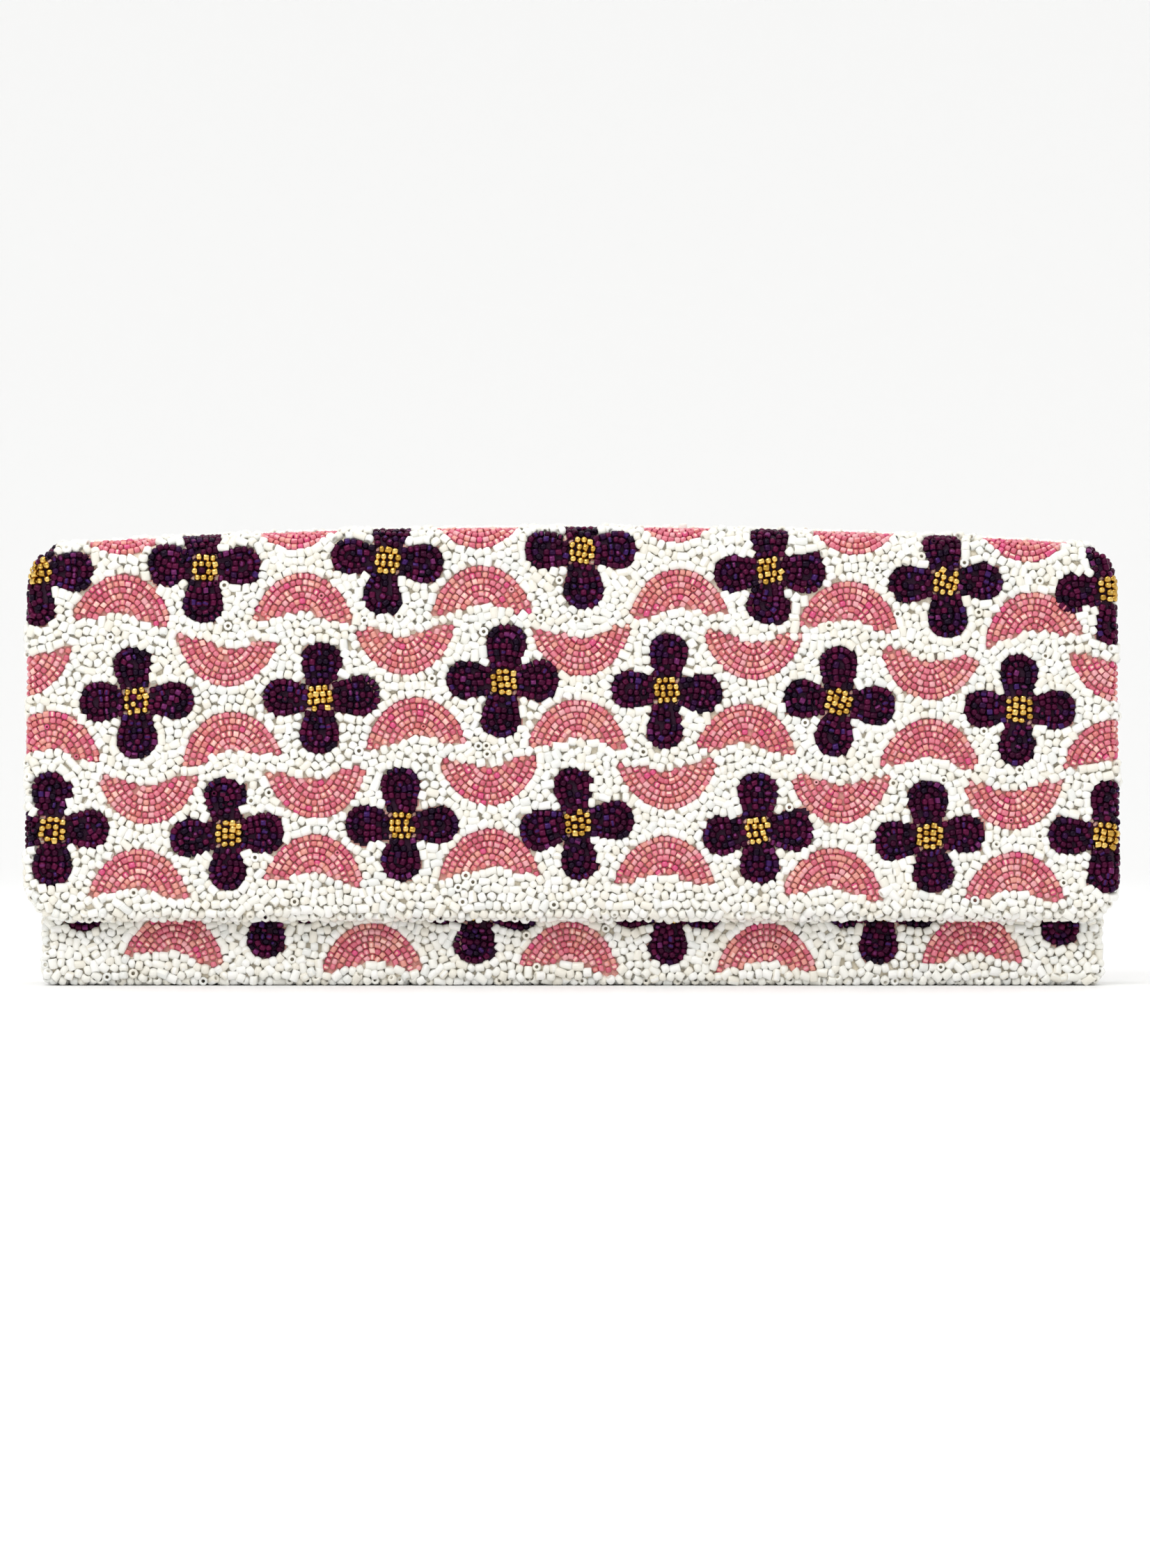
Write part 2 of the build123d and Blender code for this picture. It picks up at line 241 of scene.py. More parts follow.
class Region:
    """A surface with a rim that it rolls round.

    inset is where the roll starts, radius that of the beads' centres, turn how far round they are sewn.
    """

    def __init__(self, surface, rim, inset, radius, turn):
        self.surface, self.rim, self.inset, self.radius, self.turn = surface, rim, inset, radius, turn

    def deepest(self, a, b):
        """Where the last beads lie, as a distance inside the rim."""
        return self.inset(a, b) - self.radius(a, b) * self.turn(a, b)

    def on(self, a, b):
        return self.rim(a, b)[0] > self.deepest(a, b)

    def held(self, q):
        """Places, moved back on to the region if they are beyond its rim."""
        inside, oa, ob = self.rim(*q.T)
        beyond = np.maximum(self.deepest(*q.T) - inside, 0)
        return q - np.stack([oa, ob], axis=1) * beyond[:, None]

    def lay(self, a, b, lift=0.0):
        inside, oa, ob = self.rim(a, b)
        inset, radius = self.inset(a, b), self.radius(a, b)
        over = np.maximum(inset - inside, 0)
        point, ta, tb, out = self.surface(a - oa * over, b - ob * over)
        ta, tb = ta / np.linalg.norm(ta, axis=-1, keepdims=True), tb
        outward = oa[..., None] * ta + ob[..., None] * tb
        across = -ob[..., None] * ta + oa[..., None] * tb
        turn = (over / radius)[..., None]
        cos, sin = np.cos(turn), np.sin(turn)
        normal = out * cos + outward * sin
        reach = (radius + lift)[..., None] if np.ndim(lift) else radius[..., None] + lift
        flat = (over <= 0)[..., None]
        moved = point - out * radius[..., None] + normal * reach
        point = np.where(flat, point + out * (reach - radius[..., None]), moved)
        self.frame = (oa, ob, np.where(flat, outward, outward * cos - out * sin), across)
        return point, normal

    def direction(self, angle):
        """A direction in flat coordinates, turned on to the surface at the points last laid."""
        oa, ob, outward, across = self.frame
        ca, cb = np.cos(angle), np.sin(angle)
        return (ca * oa + cb * ob)[..., None] * outward + (cb * oa - ca * ob)[..., None] * across


RIM_FLAP = (FLAP_LAYERS - BEADS) / 2 + BEADS - SEAT
RIM_SPINE = (WALL + PAD - BOARD - BEADS) / 2 + BEADS - SEAT
RIM_BODY = 1.5
TURN_ROUND = math.radians(140)
TURN_SQUARE = math.radians(80)


def smooth(t):
    t = np.clip(t, 0, 1)
    return t * t * (3 - 2 * t)


def flap_share(x, s):
    """0 on the spine, 1 on the flap, and between them over the front crease."""
    return smooth((s - half_spine(x)) / (BEND * QUARTER))


def over_gusset(x, s):
    """The back below the gussets' tops, where its side edges meet the gussets."""
    return (s < 0) & (middle_at(x) + s < GUSSET_TOP)


def strip_radius(x, s):
    high = RIM_SPINE + (RIM_FLAP - RIM_SPINE) * flap_share(x, s)
    return np.where(over_gusset(x, s), RIM_BODY, high)


def strip_inset(x, s):
    return strip_radius(x, s) + SEAT


def strip_turn(x, s):
    return np.where(over_gusset(x, s), TURN_SQUARE, TURN_ROUND)


def front_turn(x, up):
    return np.where(MOUTH_UP - up < RIM_BODY + SEAT + 1, TURN_ROUND, TURN_SQUARE)


def body_radius(a, b):
    return RIM_BODY + 0 * a


def body_inset(a, b):
    return RIM_BODY + SEAT + 0 * a


strip_region = Region(strip, strip_rim, strip_inset, strip_radius, strip_turn)
front_region = Region(front_panel, front_rim, body_inset, body_radius, front_turn)
girth_region = Region(girth, girth_rim, body_inset, body_radius, lambda u, v: TURN_ROUND + 0 * u)

# -------------------- motifs, in flat mm: x along the width, up a panel
# The embroidery repeats a row of four-petalled flowers, with a half-moon above and one below each gap
# between them. Each place is (x, height), top row first, listed one by one: as in embroidery, rows wander a
# little.

FLAP_FLOWERS = (
    (-141.7, 109.9), (-97.5, 110.7), (-49.1, 112.6), (2.5, 115.2), (52.5, 110.0), (99.1, 107.0),
    (143.1, 105.0), (-115.5, 75.2), (-66.9, 76.1), (-18.2, 80.3), (24.9, 78.1), (70.5, 75.0),
    (118.3, 73.0), (-137.4, 41.2), (-90.8, 40.2), (-45.0, 42.3), (1.4, 43.0), (49.0, 41.1),
    (94.4, 39.4), (141.0, 39.6),
)
FLAP_CAPS = (
    (-119.0, 102.2), (-71.3, 102.6), (-24.0, 104.6), (27.7, 103.6), (73.6, 100.4), (121.8, 97.5),
    (-138.0, 65.9), (-90.8, 65.7), (-41.6, 69.6), (1.4, 69.0), (46.0, 67.8), (94.7, 63.9),
    (143.0, 63.5), (-114.5, 29.5), (-67.9, 33.3), (-21.9, 34.9), (24.7, 32.9), (69.1, 29.7),
    (117.0, 28.7),
)
FLAP_CUPS = (
    (-119.4, 120.8), (-73.2, 122.2), (-24.9, 122.4), (27.7, 124.0), (75.6, 120.8), (121.0, 118.8),
    (-146.0, 83.0), (-92.0, 85.8), (-44.3, 88.9), (2.6, 88.6), (47.6, 87.5), (94.3, 82.3),
    (145.0, 81.7), (-112.3, 49.3), (-67.3, 50.9), (-21.9, 54.2), (25.5, 53.2), (70.8, 49.5),
    (116.6, 47.9),
)
FRONT_LOW_FLOWERS = (
    (-129.0, 29.0), (-80.5, 22.0), (-24.5, 20.5), (25.3, 20.0), (81.7, 20.5), (129.1, 25.0),
)
FRONT_LOW_CAPS = (
    (-104.8, 12.5), (-53.3, 9.8), (-0.2, 10.0), (51.3, 9.8), (106.0, 12.2),
)
COLUMN_PITCH = 47.5
MOON_RISE = 9.8  # from a row's line to the middle of a half-moon

MOON_HALF = 13.7
MOON_HEIGHT = 13.6
MOON_NOTCH = 2.9
MOON_NOTCH_WIDE = 6.5
MOON_ARCH, MOON_ROUND = 2.1, 0.68  # powers that shape its arc
MOON_SIDE = 1.12  # how much more an inset takes off its ends than off its top
PETAL_START = 2.9
PETAL_END = 15.0
PETAL_HALF = 5.25
PETAL_WIDEST = 0.62  # share of its length
PETAL_NECK = 0.68  # half width at its root, as a share of the widest
PETAL_TIP = 2.3  # the higher, the blunter its end
PETAL_ROOT = 0.06  # share of its length that closes its root
ROOT_INSET = 0.4  # how much of an inset its root takes
ROW_STEP = 1.8  # between neighbouring rows of beads in a flower
MOON_STEP = 1.68  # and in a half-moon
FIRST_ROW = 0.86
BORDER = 1.22  # from a motif's outline to the row of white beads sewn round it
BORDER_PITCH = 2.48


def moon_outline(inset, steps=60):
    """The half-moon's outer line, inset, from its left foot over the top to its right foot."""
    across = np.linspace(-1, 1, steps)
    high = (1 - np.abs(across) ** MOON_ARCH) ** MOON_ROUND
    return across * (MOON_HALF - inset * MOON_SIDE), high * (MOON_HEIGHT - inset) - MOON_HEIGHT / 2


def moon_foot(x):
    """Height of its hollow lower edge."""
    return MOON_NOTCH * np.exp(-((x / MOON_NOTCH_WIDE) ** 2)) - MOON_HEIGHT / 2


def petal_half(u, inset):
    start, end = PETAL_START + inset * ROOT_INSET, PETAL_END - inset
    q = np.clip((u - start) / (end - start), 0, 1)
    swell = PETAL_NECK + (1 - PETAL_NECK) * smooth(q / PETAL_WIDEST)
    ending = np.clip((q - PETAL_WIDEST) / (1 - PETAL_WIDEST), 0, 1)
    close = np.sqrt(np.clip(1 - ending**PETAL_TIP, 0, 1))
    return (PETAL_HALF - inset) * swell * close * np.clip(q / PETAL_ROOT, 0, 1) ** 0.5


def petal_outline(inset, steps=40):
    start, end = PETAL_START + inset * ROOT_INSET, PETAL_END - inset
    u = start + (end - start) * (1 - np.cos(np.linspace(0, math.pi, steps))) / 2
    half = petal_half(u, inset)
    return np.concatenate([u, u[::-1]]), np.concatenate([half, -half[::-1]])


WHITE, PINK, PURPLE, GOLD = range(4)
PINK_PITCH, PURPLE_PITCH = 1.62, 1.72  # between beads along a row
PINK_APART, PURPLE_APART = 1.32, 1.5  # beads of different rows that are nearer than this are left out
GOLD_ROWS = (3, 4, 4, 3)  # beads in each row of a flower's middle
GOLD_PITCH = 1.82
GAP = 1.5  # a motif has no point further than this from a bead's middle
MOTIF_REACH = 16.0
LOOKED_AT, RIM_FREE = 0.45, 0.8  # step of the points looked at for holes, and how far inside they are
ALONG_JITTER = 0.06  # mm that a bead wanders along its row
AHEAD = 0.3  # a row's direction at a bead is taken this far before and after it
PETAL_ROWS, MOON_ROWS = 3, 7
ASKEW = 0.055, 0.06  # radians that flowers and half-moons wander from upright
STRAY = 0.8  # mm that the unseen motifs wander
ROW_END = HALF_BODY + 12


def strung(px, py, pitch, kind, closed=False):
    """Beads, each (x, y, direction, colour), evenly strung along a line."""
    if closed:
        px, py = np.append(px, px[0]), np.append(py, py[0])
    run = np.concatenate([[0], np.cumsum(np.hypot(np.diff(px), np.diff(py)))])
    count = max(1, int(round(run[-1] / pitch)))
    at = (np.arange(count) + (0.0 if closed else 0.5 + rng.uniform(-0.4, 0.4))) * run[-1] / count
    at = np.clip(at + rng.normal(0, ALONG_JITTER, count), 0, run[-1])

    def beside(shift):
        there = np.clip(at + shift, 0, run[-1])
        return np.interp(there, run, px), np.interp(there, run, py)

    (x, y), ahead, behind = beside(0), beside(AHEAD), beside(-AHEAD)
    angle = np.arctan2(ahead[1] - behind[1], ahead[0] - behind[0])
    return list(zip(x, y, angle, [kind] * count))


def turned(beads, x, y, angle, flip=False):
    """Beads turned round (0, 0) and moved to their place. flip stands them on their head."""
    angle += math.pi if flip else 0.0
    c, s = math.cos(angle), math.sin(angle)
    return [(x + a * c - b * s, y + a * s + b * c, t + angle, k) for a, b, t, k in beads]


def thinned(beads, nearest):
    """Without the beads that lie on one placed before them."""
    kept = []
    for bead in beads:
        if all(math.hypot(bead[0] - k[0], bead[1] - k[1]) >= nearest for k in kept):
            kept.append(bead)
    return kept


def topped_up(beads, within, kind):
    """The beads, and more of them wherever the motif would show a hole."""
    steps = np.arange(-MOTIF_REACH, MOTIF_REACH, LOOKED_AT)
    grid = np.stack(np.meshgrid(steps, steps), axis=-1).reshape(-1, 2)
    grid = grid[within(*grid.T, RIM_FREE)]
    placed = np.array(beads)
    nearest = np.hypot(*(grid[:, None, :] - placed[None, :, :2]).transpose(2, 0, 1)).min(axis=1)
    while nearest.max() > GAP:
        place = grid[int(nearest.argmax())]
        by = int(np.hypot(*(placed[:, :2] - place).T).argmin())
        beads.append((*place, placed[by, 2], kind))
        placed = np.array(beads)
        nearest = np.minimum(nearest, np.hypot(*(grid - place).T))
    return beads


def in_moon(u, v, inset=0.0):
    half, height = MOON_HALF - inset * MOON_SIDE, MOON_HEIGHT - inset
    high = np.clip(1 - np.abs(u / half) ** MOON_ARCH, 0, 1) ** MOON_ROUND * height - MOON_HEIGHT / 2
    return (np.abs(u) < half) & (v < high) & (v > moon_foot(u) + inset * 0.8)


def in_flower(u, v, inset=0.0):
    inside = np.hypot(u, v) < PETAL_START + 1
    for along, over in ((u, v), (v, u), (-u, v), (-v, u)):
        inside |= (along > PETAL_START) & (np.abs(over) < petal_half(along, inset))
    return inside


def flower_beads():
    """One flower round (0, 0)."""
    along = rng.choice((0.0, math.pi / 2)) + rng.normal(0, 0.15)
    middle = []
    for row, count in enumerate(GOLD_ROWS):
        for k in range(count):
            a = (k - (count - 1) / 2) * GOLD_PITCH + rng.normal(0, 0.12)
            b = (row - (len(GOLD_ROWS) - 1) / 2) * GOLD_PITCH + rng.normal(0, 0.1)
            middle.append((a, b, rng.normal(0, 0.2), GOLD))
    beads = turned(middle, 0, 0, along)
    for quarter in range(4):
        lean = quarter * math.pi / 2 + rng.normal(0, 0.08)
        size = 1 + rng.normal(0, 0.03)
        wide = 1 + rng.normal(0, 0.05)
        for row in range(PETAL_ROWS):
            u, v = petal_outline(FIRST_ROW + row * ROW_STEP)
            beads += turned(strung(u * size, v * wide, PURPLE_PITCH, PURPLE, closed=True), 0, 0, lean)
    return topped_up(thinned(beads, PURPLE_APART), in_flower, PURPLE)


def moon_beads():
    """One half-moon, hollow side down, round (0, 0)."""
    beads = []
    for row in range(MOON_ROWS):
        px, py = moon_outline(FIRST_ROW + row * MOON_STEP)
        above = py > moon_foot(px) + 0.55
        if above.sum() < 4:
            break
        beads += strung(px[above], py[above], PINK_PITCH, PINK)
    return topped_up(thinned(beads, PINK_APART), in_moon, PINK)


def flower_border():
    """The row of white beads sewn round a flower."""
    petal = petal_outline(-BORDER)
    beads = []
    for quarter in range(4):
        beads += turned(strung(*petal, BORDER_PITCH, WHITE, closed=True), 0, 0, quarter * math.pi / 2)
    return beads


def moon_border():
    px, py = moon_outline(-BORDER)
    foot = np.linspace(MOON_HALF, -MOON_HALF, 40)
    px, py = np.concatenate([px, foot]), np.concatenate([py, moon_foot(foot) - BORDER])
    return strung(px, py, BORDER_PITCH, WHITE, closed=True)


class Motifs:
    """The motifs of one panel, the row of white beads round each, and the outlines of their grounds."""

    def __init__(self):
        self.beads, self.borders, self.grounds = [], [], []

    def place(self, x, y, wander, motif, border, kind, flip=False):
        angle = rng.normal(0, wander)
        self.beads += turned(motif(), x, y, angle, flip)
        self.borders += turned(border(), x, y, angle, flip)
        self.grounds.append((x, y, angle + (math.pi if flip else 0), kind))

    def flower(self, x, y):
        self.place(x, y, ASKEW[0], flower_beads, flower_border, PURPLE)

    def moon(self, x, y, flip):
        self.place(x, y, ASKEW[1], moon_beads, moon_border, PINK, flip)

    def row(self, line, first):
        """A row that nobody sees in front: flowers a column apart, with half-moons in the gaps."""
        for x in np.arange(first, ROW_END, COLUMN_PITCH):
            self.flower(x + rng.normal(0, STRAY), line + rng.normal(0, STRAY))
        for x in np.arange(first - COLUMN_PITCH / 2, ROW_END, COLUMN_PITCH):
            self.moon(x + rng.normal(0, STRAY), line + MOON_RISE + rng.normal(0, STRAY / 2), True)
            self.moon(x + rng.normal(0, STRAY), line - MOON_RISE + rng.normal(0, STRAY / 2), False)

    def tables(self):
        """The motifs' own beads and their border beads."""
        return np.array(self.beads), np.array(self.borders)

    def ground(self, x, y):
        """0 on bare cloth, 1 under a half-moon, 2 under a flower."""
        ground = np.zeros(x.shape)
        for cx, cy, angle, kind in self.grounds:
            near = np.nonzero(np.hypot(x - cx, y - cy) < MOTIF_REACH + 1)
            dx, dy = x[near] - cx, y[near] - cy
            c, s = math.cos(angle), math.sin(angle)
            within, level = (in_moon, 1.0) if kind == PINK else (in_flower, 2.0)
            ground[near] = np.where(within(dx * c + dy * s, dy * c - dx * s), level, ground[near])
        return ground


# Rows of the back and of the front under the flap: height of the row's line, and its first flower.
EVEN, ODD = -118.8, -142.5
BACK_ROWS = ((110.5, EVEN), (75.5, ODD), (40.5, EVEN), (5.5, ODD))
FRONT_ROWS = ((55.5, ODD), (90.5, EVEN))
FRONT_LOW_LINE = 20.5
FRONT_LOW_CUPS = (-104.5, -52.0, 0.5, 53.0, 105.0)

flap_motifs, back_motifs, front_motifs = Motifs(), Motifs(), Motifs()
for x, height in FLAP_FLOWERS:
    flap_motifs.flower(x, height / COS)
for places, flip in ((FLAP_CAPS, False), (FLAP_CUPS, True)):
    for x, height in places:
        flap_motifs.moon(x, height / COS, flip)
for line, first in BACK_ROWS:
    back_motifs.row(line, first)
for x, height in FRONT_LOW_FLOWERS:
    front_motifs.flower(x, height)
for x, height in FRONT_LOW_CAPS:
    front_motifs.moon(x, height, False)
for x in FRONT_LOW_CUPS:
    front_motifs.moon(x, FRONT_LOW_LINE + MOON_RISE, True)
for line, first in FRONT_ROWS:
    front_motifs.row(line, first)


def strip_ground(x, s):
    middle = middle_at(x)
    return np.where(s >= 0, flap_motifs.ground(x, middle - s), back_motifs.ground(x, middle + s))

# -------------------- packing white beads between the motifs


def close_pairs(p, reach):
    """Index pairs of points nearer each other than reach."""
    cell = np.floor(p / reach).astype(np.int64)
    cell -= cell.min(0) - 1
    width = cell[:, 1].max() + 2
    key = cell[:, 0] * width + cell[:, 1]
    order = np.argsort(key, kind="stable")
    ordered = key[order]
    found = []
    for da, db in ((0, 0), (0, 1), (1, -1), (1, 0), (1, 1)):
        target = key + da * width + db
        first = np.searchsorted(ordered, target, "left")
        count = np.searchsorted(ordered, target, "right") - first
        i = np.repeat(np.arange(len(p)), count)
        step = np.arange(count.sum()) - np.repeat(np.cumsum(count) - count, count)
        j = order[np.repeat(first, count) + step]
        keep = i < j if da == db == 0 else np.ones(len(i), bool)
        i, j = i[keep], j[keep]
        near = ((p[i] - p[j]) ** 2).sum(1) < reach**2
        found.append((i[near], j[near]))
    return np.concatenate([f[0] for f in found]), np.concatenate([f[1] for f in found])


def pairs_with(fixed, free, reach):
    """Index pairs of a fixed point and a free one nearer each other than reach."""
    n = len(fixed)
    i, j = close_pairs(np.concatenate([fixed, free]), reach)
    first, later = np.minimum(i, j), np.maximum(i, j)
    mixed = (first < n) & (later >= n)
    return first[mixed], later[mixed] - n


def reach_along(angle, axis, half, radius):
    """How far a bead reaches in a direction, as a rounded block of its length and width."""
    c, s = np.abs(np.cos(angle - axis)) / half, np.abs(np.sin(angle - axis)) / radius
    return (c**4 + s**4) ** -0.25


COLUMNS = ("a", "b", "axis", "half", "radius", "cut", "outward", "colour")
SEED_STEP = 2.5
NEAR_MOTIF = 3.0
TOUCHING = 1.75  # a white bead isn't started nearer than this to a motif's bead
LAPPED = 1.4  # nor is a border bead sewn nearer than this to another motif's border
STACKED = 1.3  # nor is a bead kept that has been pushed nearer than this to an earlier one
HOLE = 1.72  # bare cloth further than this from every bead's middle gets another bead
CELL = 0.35
SCATTER = 0.75  # how far the first places wander
FAR = 3.0  # beads further apart than this can't touch
PRESSED = 0.965  # share of the room they need that two beads get
PUSH, LONGEST_PUSH = 0.42, 0.35  # share of an overlap undone in a step, and the most that a bead moves
FIRST_STEPS, LAST_STEPS = 30, 16
CUT_SHARE, CUT_SHARE_IN_MOTIF = 0.5, 0.25
OUTWARD, OUTWARD_IN_MOTIF = 0.018, 0.004  # share of beads that stand with their hole outwards
ANY_WAY = 0.3  # share of white beads that lie in any direction
ALONG_MOTIF = 0.72  # share of those beside a motif that lie along it


def white_sizes(n):
    """Cut tubes and rounder beads, mixed: whether cut, radius, half length."""
    cut = rng.random(n) < CUT_SHARE
    radius = np.where(cut, rng.uniform(1.13, 1.32, n), rng.uniform(1.20, 1.40, n))
    half = np.where(cut, rng.uniform(1.05, 1.75, n), rng.uniform(0.95, 1.18, n))
    return cut, radius, half


def settle(beads, moving, held, steps):
    """Pushes beads, rows of (a, b, direction, half length, radius), off each other."""
    for _ in range(steps):
        i, j = close_pairs(beads[:, :2], FAR)
        live = moving[i] | moving[j]
        i, j = i[live], j[live]
        gap = beads[j, :2] - beads[i, :2]
        far = np.maximum(np.hypot(gap[:, 0], gap[:, 1]), 1e-3)
        angle = np.arctan2(gap[:, 1], gap[:, 0])
        want = reach_along(angle, *beads[i, 2:].T) + reach_along(angle, *beads[j, 2:].T)
        push = np.maximum(want * PRESSED - far, 0) * PUSH
        share = np.where(moving[i] & moving[j], 0.5, 1.0) * push / far
        shift = np.zeros((len(beads), 2))
        np.add.at(shift, j, gap * (share * moving[j])[:, None])
        np.add.at(shift, i, -gap * (share * moving[i])[:, None])
        beads[:, :2] += np.clip(shift, -LONGEST_PUSH, LONGEST_PUSH)
        beads[moving, :2] = held(beads[moving, :2])
    return beads


def holes_among(beads, low, high, bare):
    """Places for more beads, where bare(a, b) ground is further than HOLE from any bead."""
    a, b = np.arange(low[0], high[0], CELL), np.arange(low[1], high[1], CELL)
    ga, gb = np.meshgrid(a, b, indexing="ij")
    empty = bare(ga.ravel(), gb.ravel()).reshape(ga.shape)
    steps = range(-int(HOLE / CELL) - 1, int(HOLE / CELL) + 2)
    around = np.array([(da, db) for da in steps for db in steps if math.hypot(da, db) * CELL < HOLE])

    def cover(ia, ib):
        for da, db in around:
            empty[np.clip(ia + da, 0, len(a) - 1), np.clip(ib + db, 0, len(b) - 1)] = False

    cover(*np.round((beads[:, :2] - low) / CELL).astype(int).T)
    found = []
    for k in np.flatnonzero(empty):
        ka, kb = divmod(int(k), len(b))
        if empty[ka, kb]:
            found.append((a[ka], b[kb]))
            cover(ka, kb)
    return np.array(found).reshape(-1, 2)


def fill(region, low, high, allowed, fixed, borders):
    """White beads packed between the fixed ones, first along the motifs' borders: a dict of COLUMNS."""
    b = np.arange(low[1], high[1], SEED_STEP * 0.866)
    ga, gb = np.meshgrid(np.arange(low[0], high[0], SEED_STEP), b, indexing="ij")
    ga = ga + (np.arange(len(b)) % 2) * SEED_STEP / 2
    p = np.stack([ga.ravel(), gb.ravel()], axis=1)
    p += rng.uniform(-SCATTER, SCATTER, p.shape)
    both, sewn = np.concatenate([borders[:, :2], p]), len(borders)
    i, j = close_pairs(both, BORDER_PITCH * 0.7)
    first, later = np.minimum(i, j), np.maximum(i, j)
    crowded = (first < sewn) & ((later >= sewn) | (np.hypot(*(both[i] - both[j]).T) < LAPPED))
    p = np.delete(both, later[crowded], axis=0)

    def bare(a, b):
        return region.on(a, b) & allowed(a, b)

    p = p[bare(*p.T)]
    p = np.delete(p, pairs_with(fixed[:, :2], p, TOUCHING)[1], axis=0)
    n = len(p)
    cut, radius, half = white_sizes(n)
    wave = sum(
        np.sin(p[:, 0] * k * math.cos(q) + p[:, 1] * k * math.sin(q) + f)
        for k, q, f in zip((0.21, 0.33, 0.47, 0.12), rng.uniform(0, 6.3, 4), rng.uniform(0, 6.3, 4))
    )
    axis = wave * 1.3 + rng.normal(0, 0.5, n)
    axis = np.where(rng.random(n) < ANY_WAY, rng.uniform(0, math.pi, n), axis)
    if len(fixed):
        i, j = pairs_with(fixed[:, :2], p, NEAR_MOTIF)
        away = np.zeros((n, 2))
        np.add.at(away, j, p[j] - fixed[i, :2])
        edge = (np.hypot(away[:, 0], away[:, 1]) > 0.2) & (rng.random(n) < ALONG_MOTIF)
        beside = np.arctan2(away[:, 1], away[:, 0]) + math.pi / 2 + rng.normal(0, 0.16, n)
        axis = np.where(edge, beside, axis)
    beads = np.concatenate([fixed[:, :5], np.stack([*p.T, axis, half, radius], axis=1)])
    beads = settle(beads, np.arange(len(beads)) >= len(fixed), region.held, FIRST_STEPS)
    extra = holes_among(beads, low, high, bare)
    more_cut, more_radius, more_half = white_sizes(len(extra))
    turned_by = rng.uniform(0, math.pi, len(extra))
    beads = np.concatenate([beads, np.stack([*extra.T, turned_by, more_half, more_radius], axis=1)])
    cut = np.concatenate([cut, more_cut])
    moving = np.arange(len(beads)) >= len(fixed)
    beads = settle(beads, moving, region.held, LAST_STEPS)
    later = np.maximum(*close_pairs(beads[:, :2], STACKED))
    keep = moving.copy()
    keep[later[moving[later]]] = False
    white = beads[keep]
    outward = rng.random(len(white)) < OUTWARD
    return dict(zip(COLUMNS, (*white.T, cut[keep[len(fixed) :]], outward, np.full(len(white), WHITE))))


RADIUS = (1.0, 0.83, 0.92, 0.98)  # by colour; white beads get their sizes when they are packed
HALF_LENGTH = (1.0, 0.80, 0.84, 0.80)


def motif_table(region, beads):
    """A panel's motif beads, rows of (a, b, direction, half length, radius, colour)."""
    n, kind = len(beads), beads[:, 3].astype(int)
    radius = np.choose(kind, RADIUS) * rng.uniform(0.95, 1.05, n)
    half = np.choose(kind, HALF_LENGTH) * rng.uniform(0.92, 1.08, n)
    return np.column_stack([beads[:, :3], half, radius, kind])[region.on(beads[:, 0], beads[:, 1])]


def dressed(region, low, high, allowed, motif, borders):
    """All the beads of one region, motifs and white ground together: a dict of COLUMNS."""
    white = fill(region, low, high, allowed, motif, borders)
    n = len(motif)
    cut, outward = rng.random(n) < CUT_SHARE_IN_MOTIF, rng.random(n) < OUTWARD_IN_MOTIF
    sewn = dict(zip(COLUMNS, (*motif.T[:5], cut, outward, motif[:, 5].astype(int))))
    return {key: np.concatenate([sewn[key], white[key]]) for key in COLUMNS}


STRIP_BACK = -middle_at(np.zeros(1))[0]
STRIP_FRONT = middle_at(np.zeros(1))[0] - FLAP_LOW
SOCKET = cad_box("socket_cover")
SOCKET_UP = (SOCKET[0][2] + SOCKET[1][2]) / 2 / COS
SOCKET_CLEAR = (SOCKET[1][0] - SOCKET[0][0]) / 2 + 1.0
SEAM_CLEAR = 0.6  # from the middle of the spine to the nearest motif bead on each side
BACK_LOW, FRONT_LOW, FRONT_TOP = 4.5, 3.4, MOUTH_UP - 1.5  # motif beads stop at these heights


def clear_of_socket(x, up):
    """No bead is sewn where the snap's socket lies against the front panel."""
    return np.hypot(x, up - SOCKET_UP) > SOCKET_CLEAR


def on_strip(beads, back):
    """The strip's own part of a panel's beads, moved from (x, up the panel) to the strip's (x, s)."""
    side = 1 if back else -1
    moved = beads.copy()
    moved[:, 1] = side * (beads[:, 1] - middle_at(beads[:, 0]))
    moved[:, 2] *= side
    ours = (moved[:, 1] < -SEAM_CLEAR) & (beads[:, 1] > BACK_LOW) if back else moved[:, 1] > SEAM_CLEAR
    return moved[ours]


strip_own, strip_borders = (
    np.concatenate([on_strip(flap, False), on_strip(back, True)])
    for flap, back in zip(flap_motifs.tables(), back_motifs.tables())
)
front_own, front_borders = (
    beads[(up > FRONT_LOW) & (up < FRONT_TOP) & clear_of_socket(beads[:, 0], up)]
    for beads in front_motifs.tables()
    for up in (beads[:, 1],)
)
strip_table = motif_table(strip_region, strip_own)
front_table = motif_table(front_region, front_own)
strip_beads = dressed(
    strip_region,
    (-150, STRIP_BACK - 6),
    (150, STRIP_FRONT + 8),
    lambda x, s: strip_ground(x, s) == 0,
    strip_table,
    strip_borders,
)
front_beads = dressed(
    front_region,
    (-146, -5),
    (146, MOUTH_UP + 6),
    lambda x, up: (front_motifs.ground(x, up) == 0) & clear_of_socket(x, up),
    front_table,
    front_borders,
)
girth_beads = dressed(
    girth_region,
    (-GIRTH_END - 5, -15),
    (GIRTH_END + 5, 15),
    lambda u, v: np.abs(v) < girth_half(u),
    np.zeros((0, 6)),
    np.zeros((0, 4)),
)
room = girth_half(girth_beads["a"])
girth_beads["b"] = np.clip(girth_beads["b"], -room, room)

# -------------------- materials


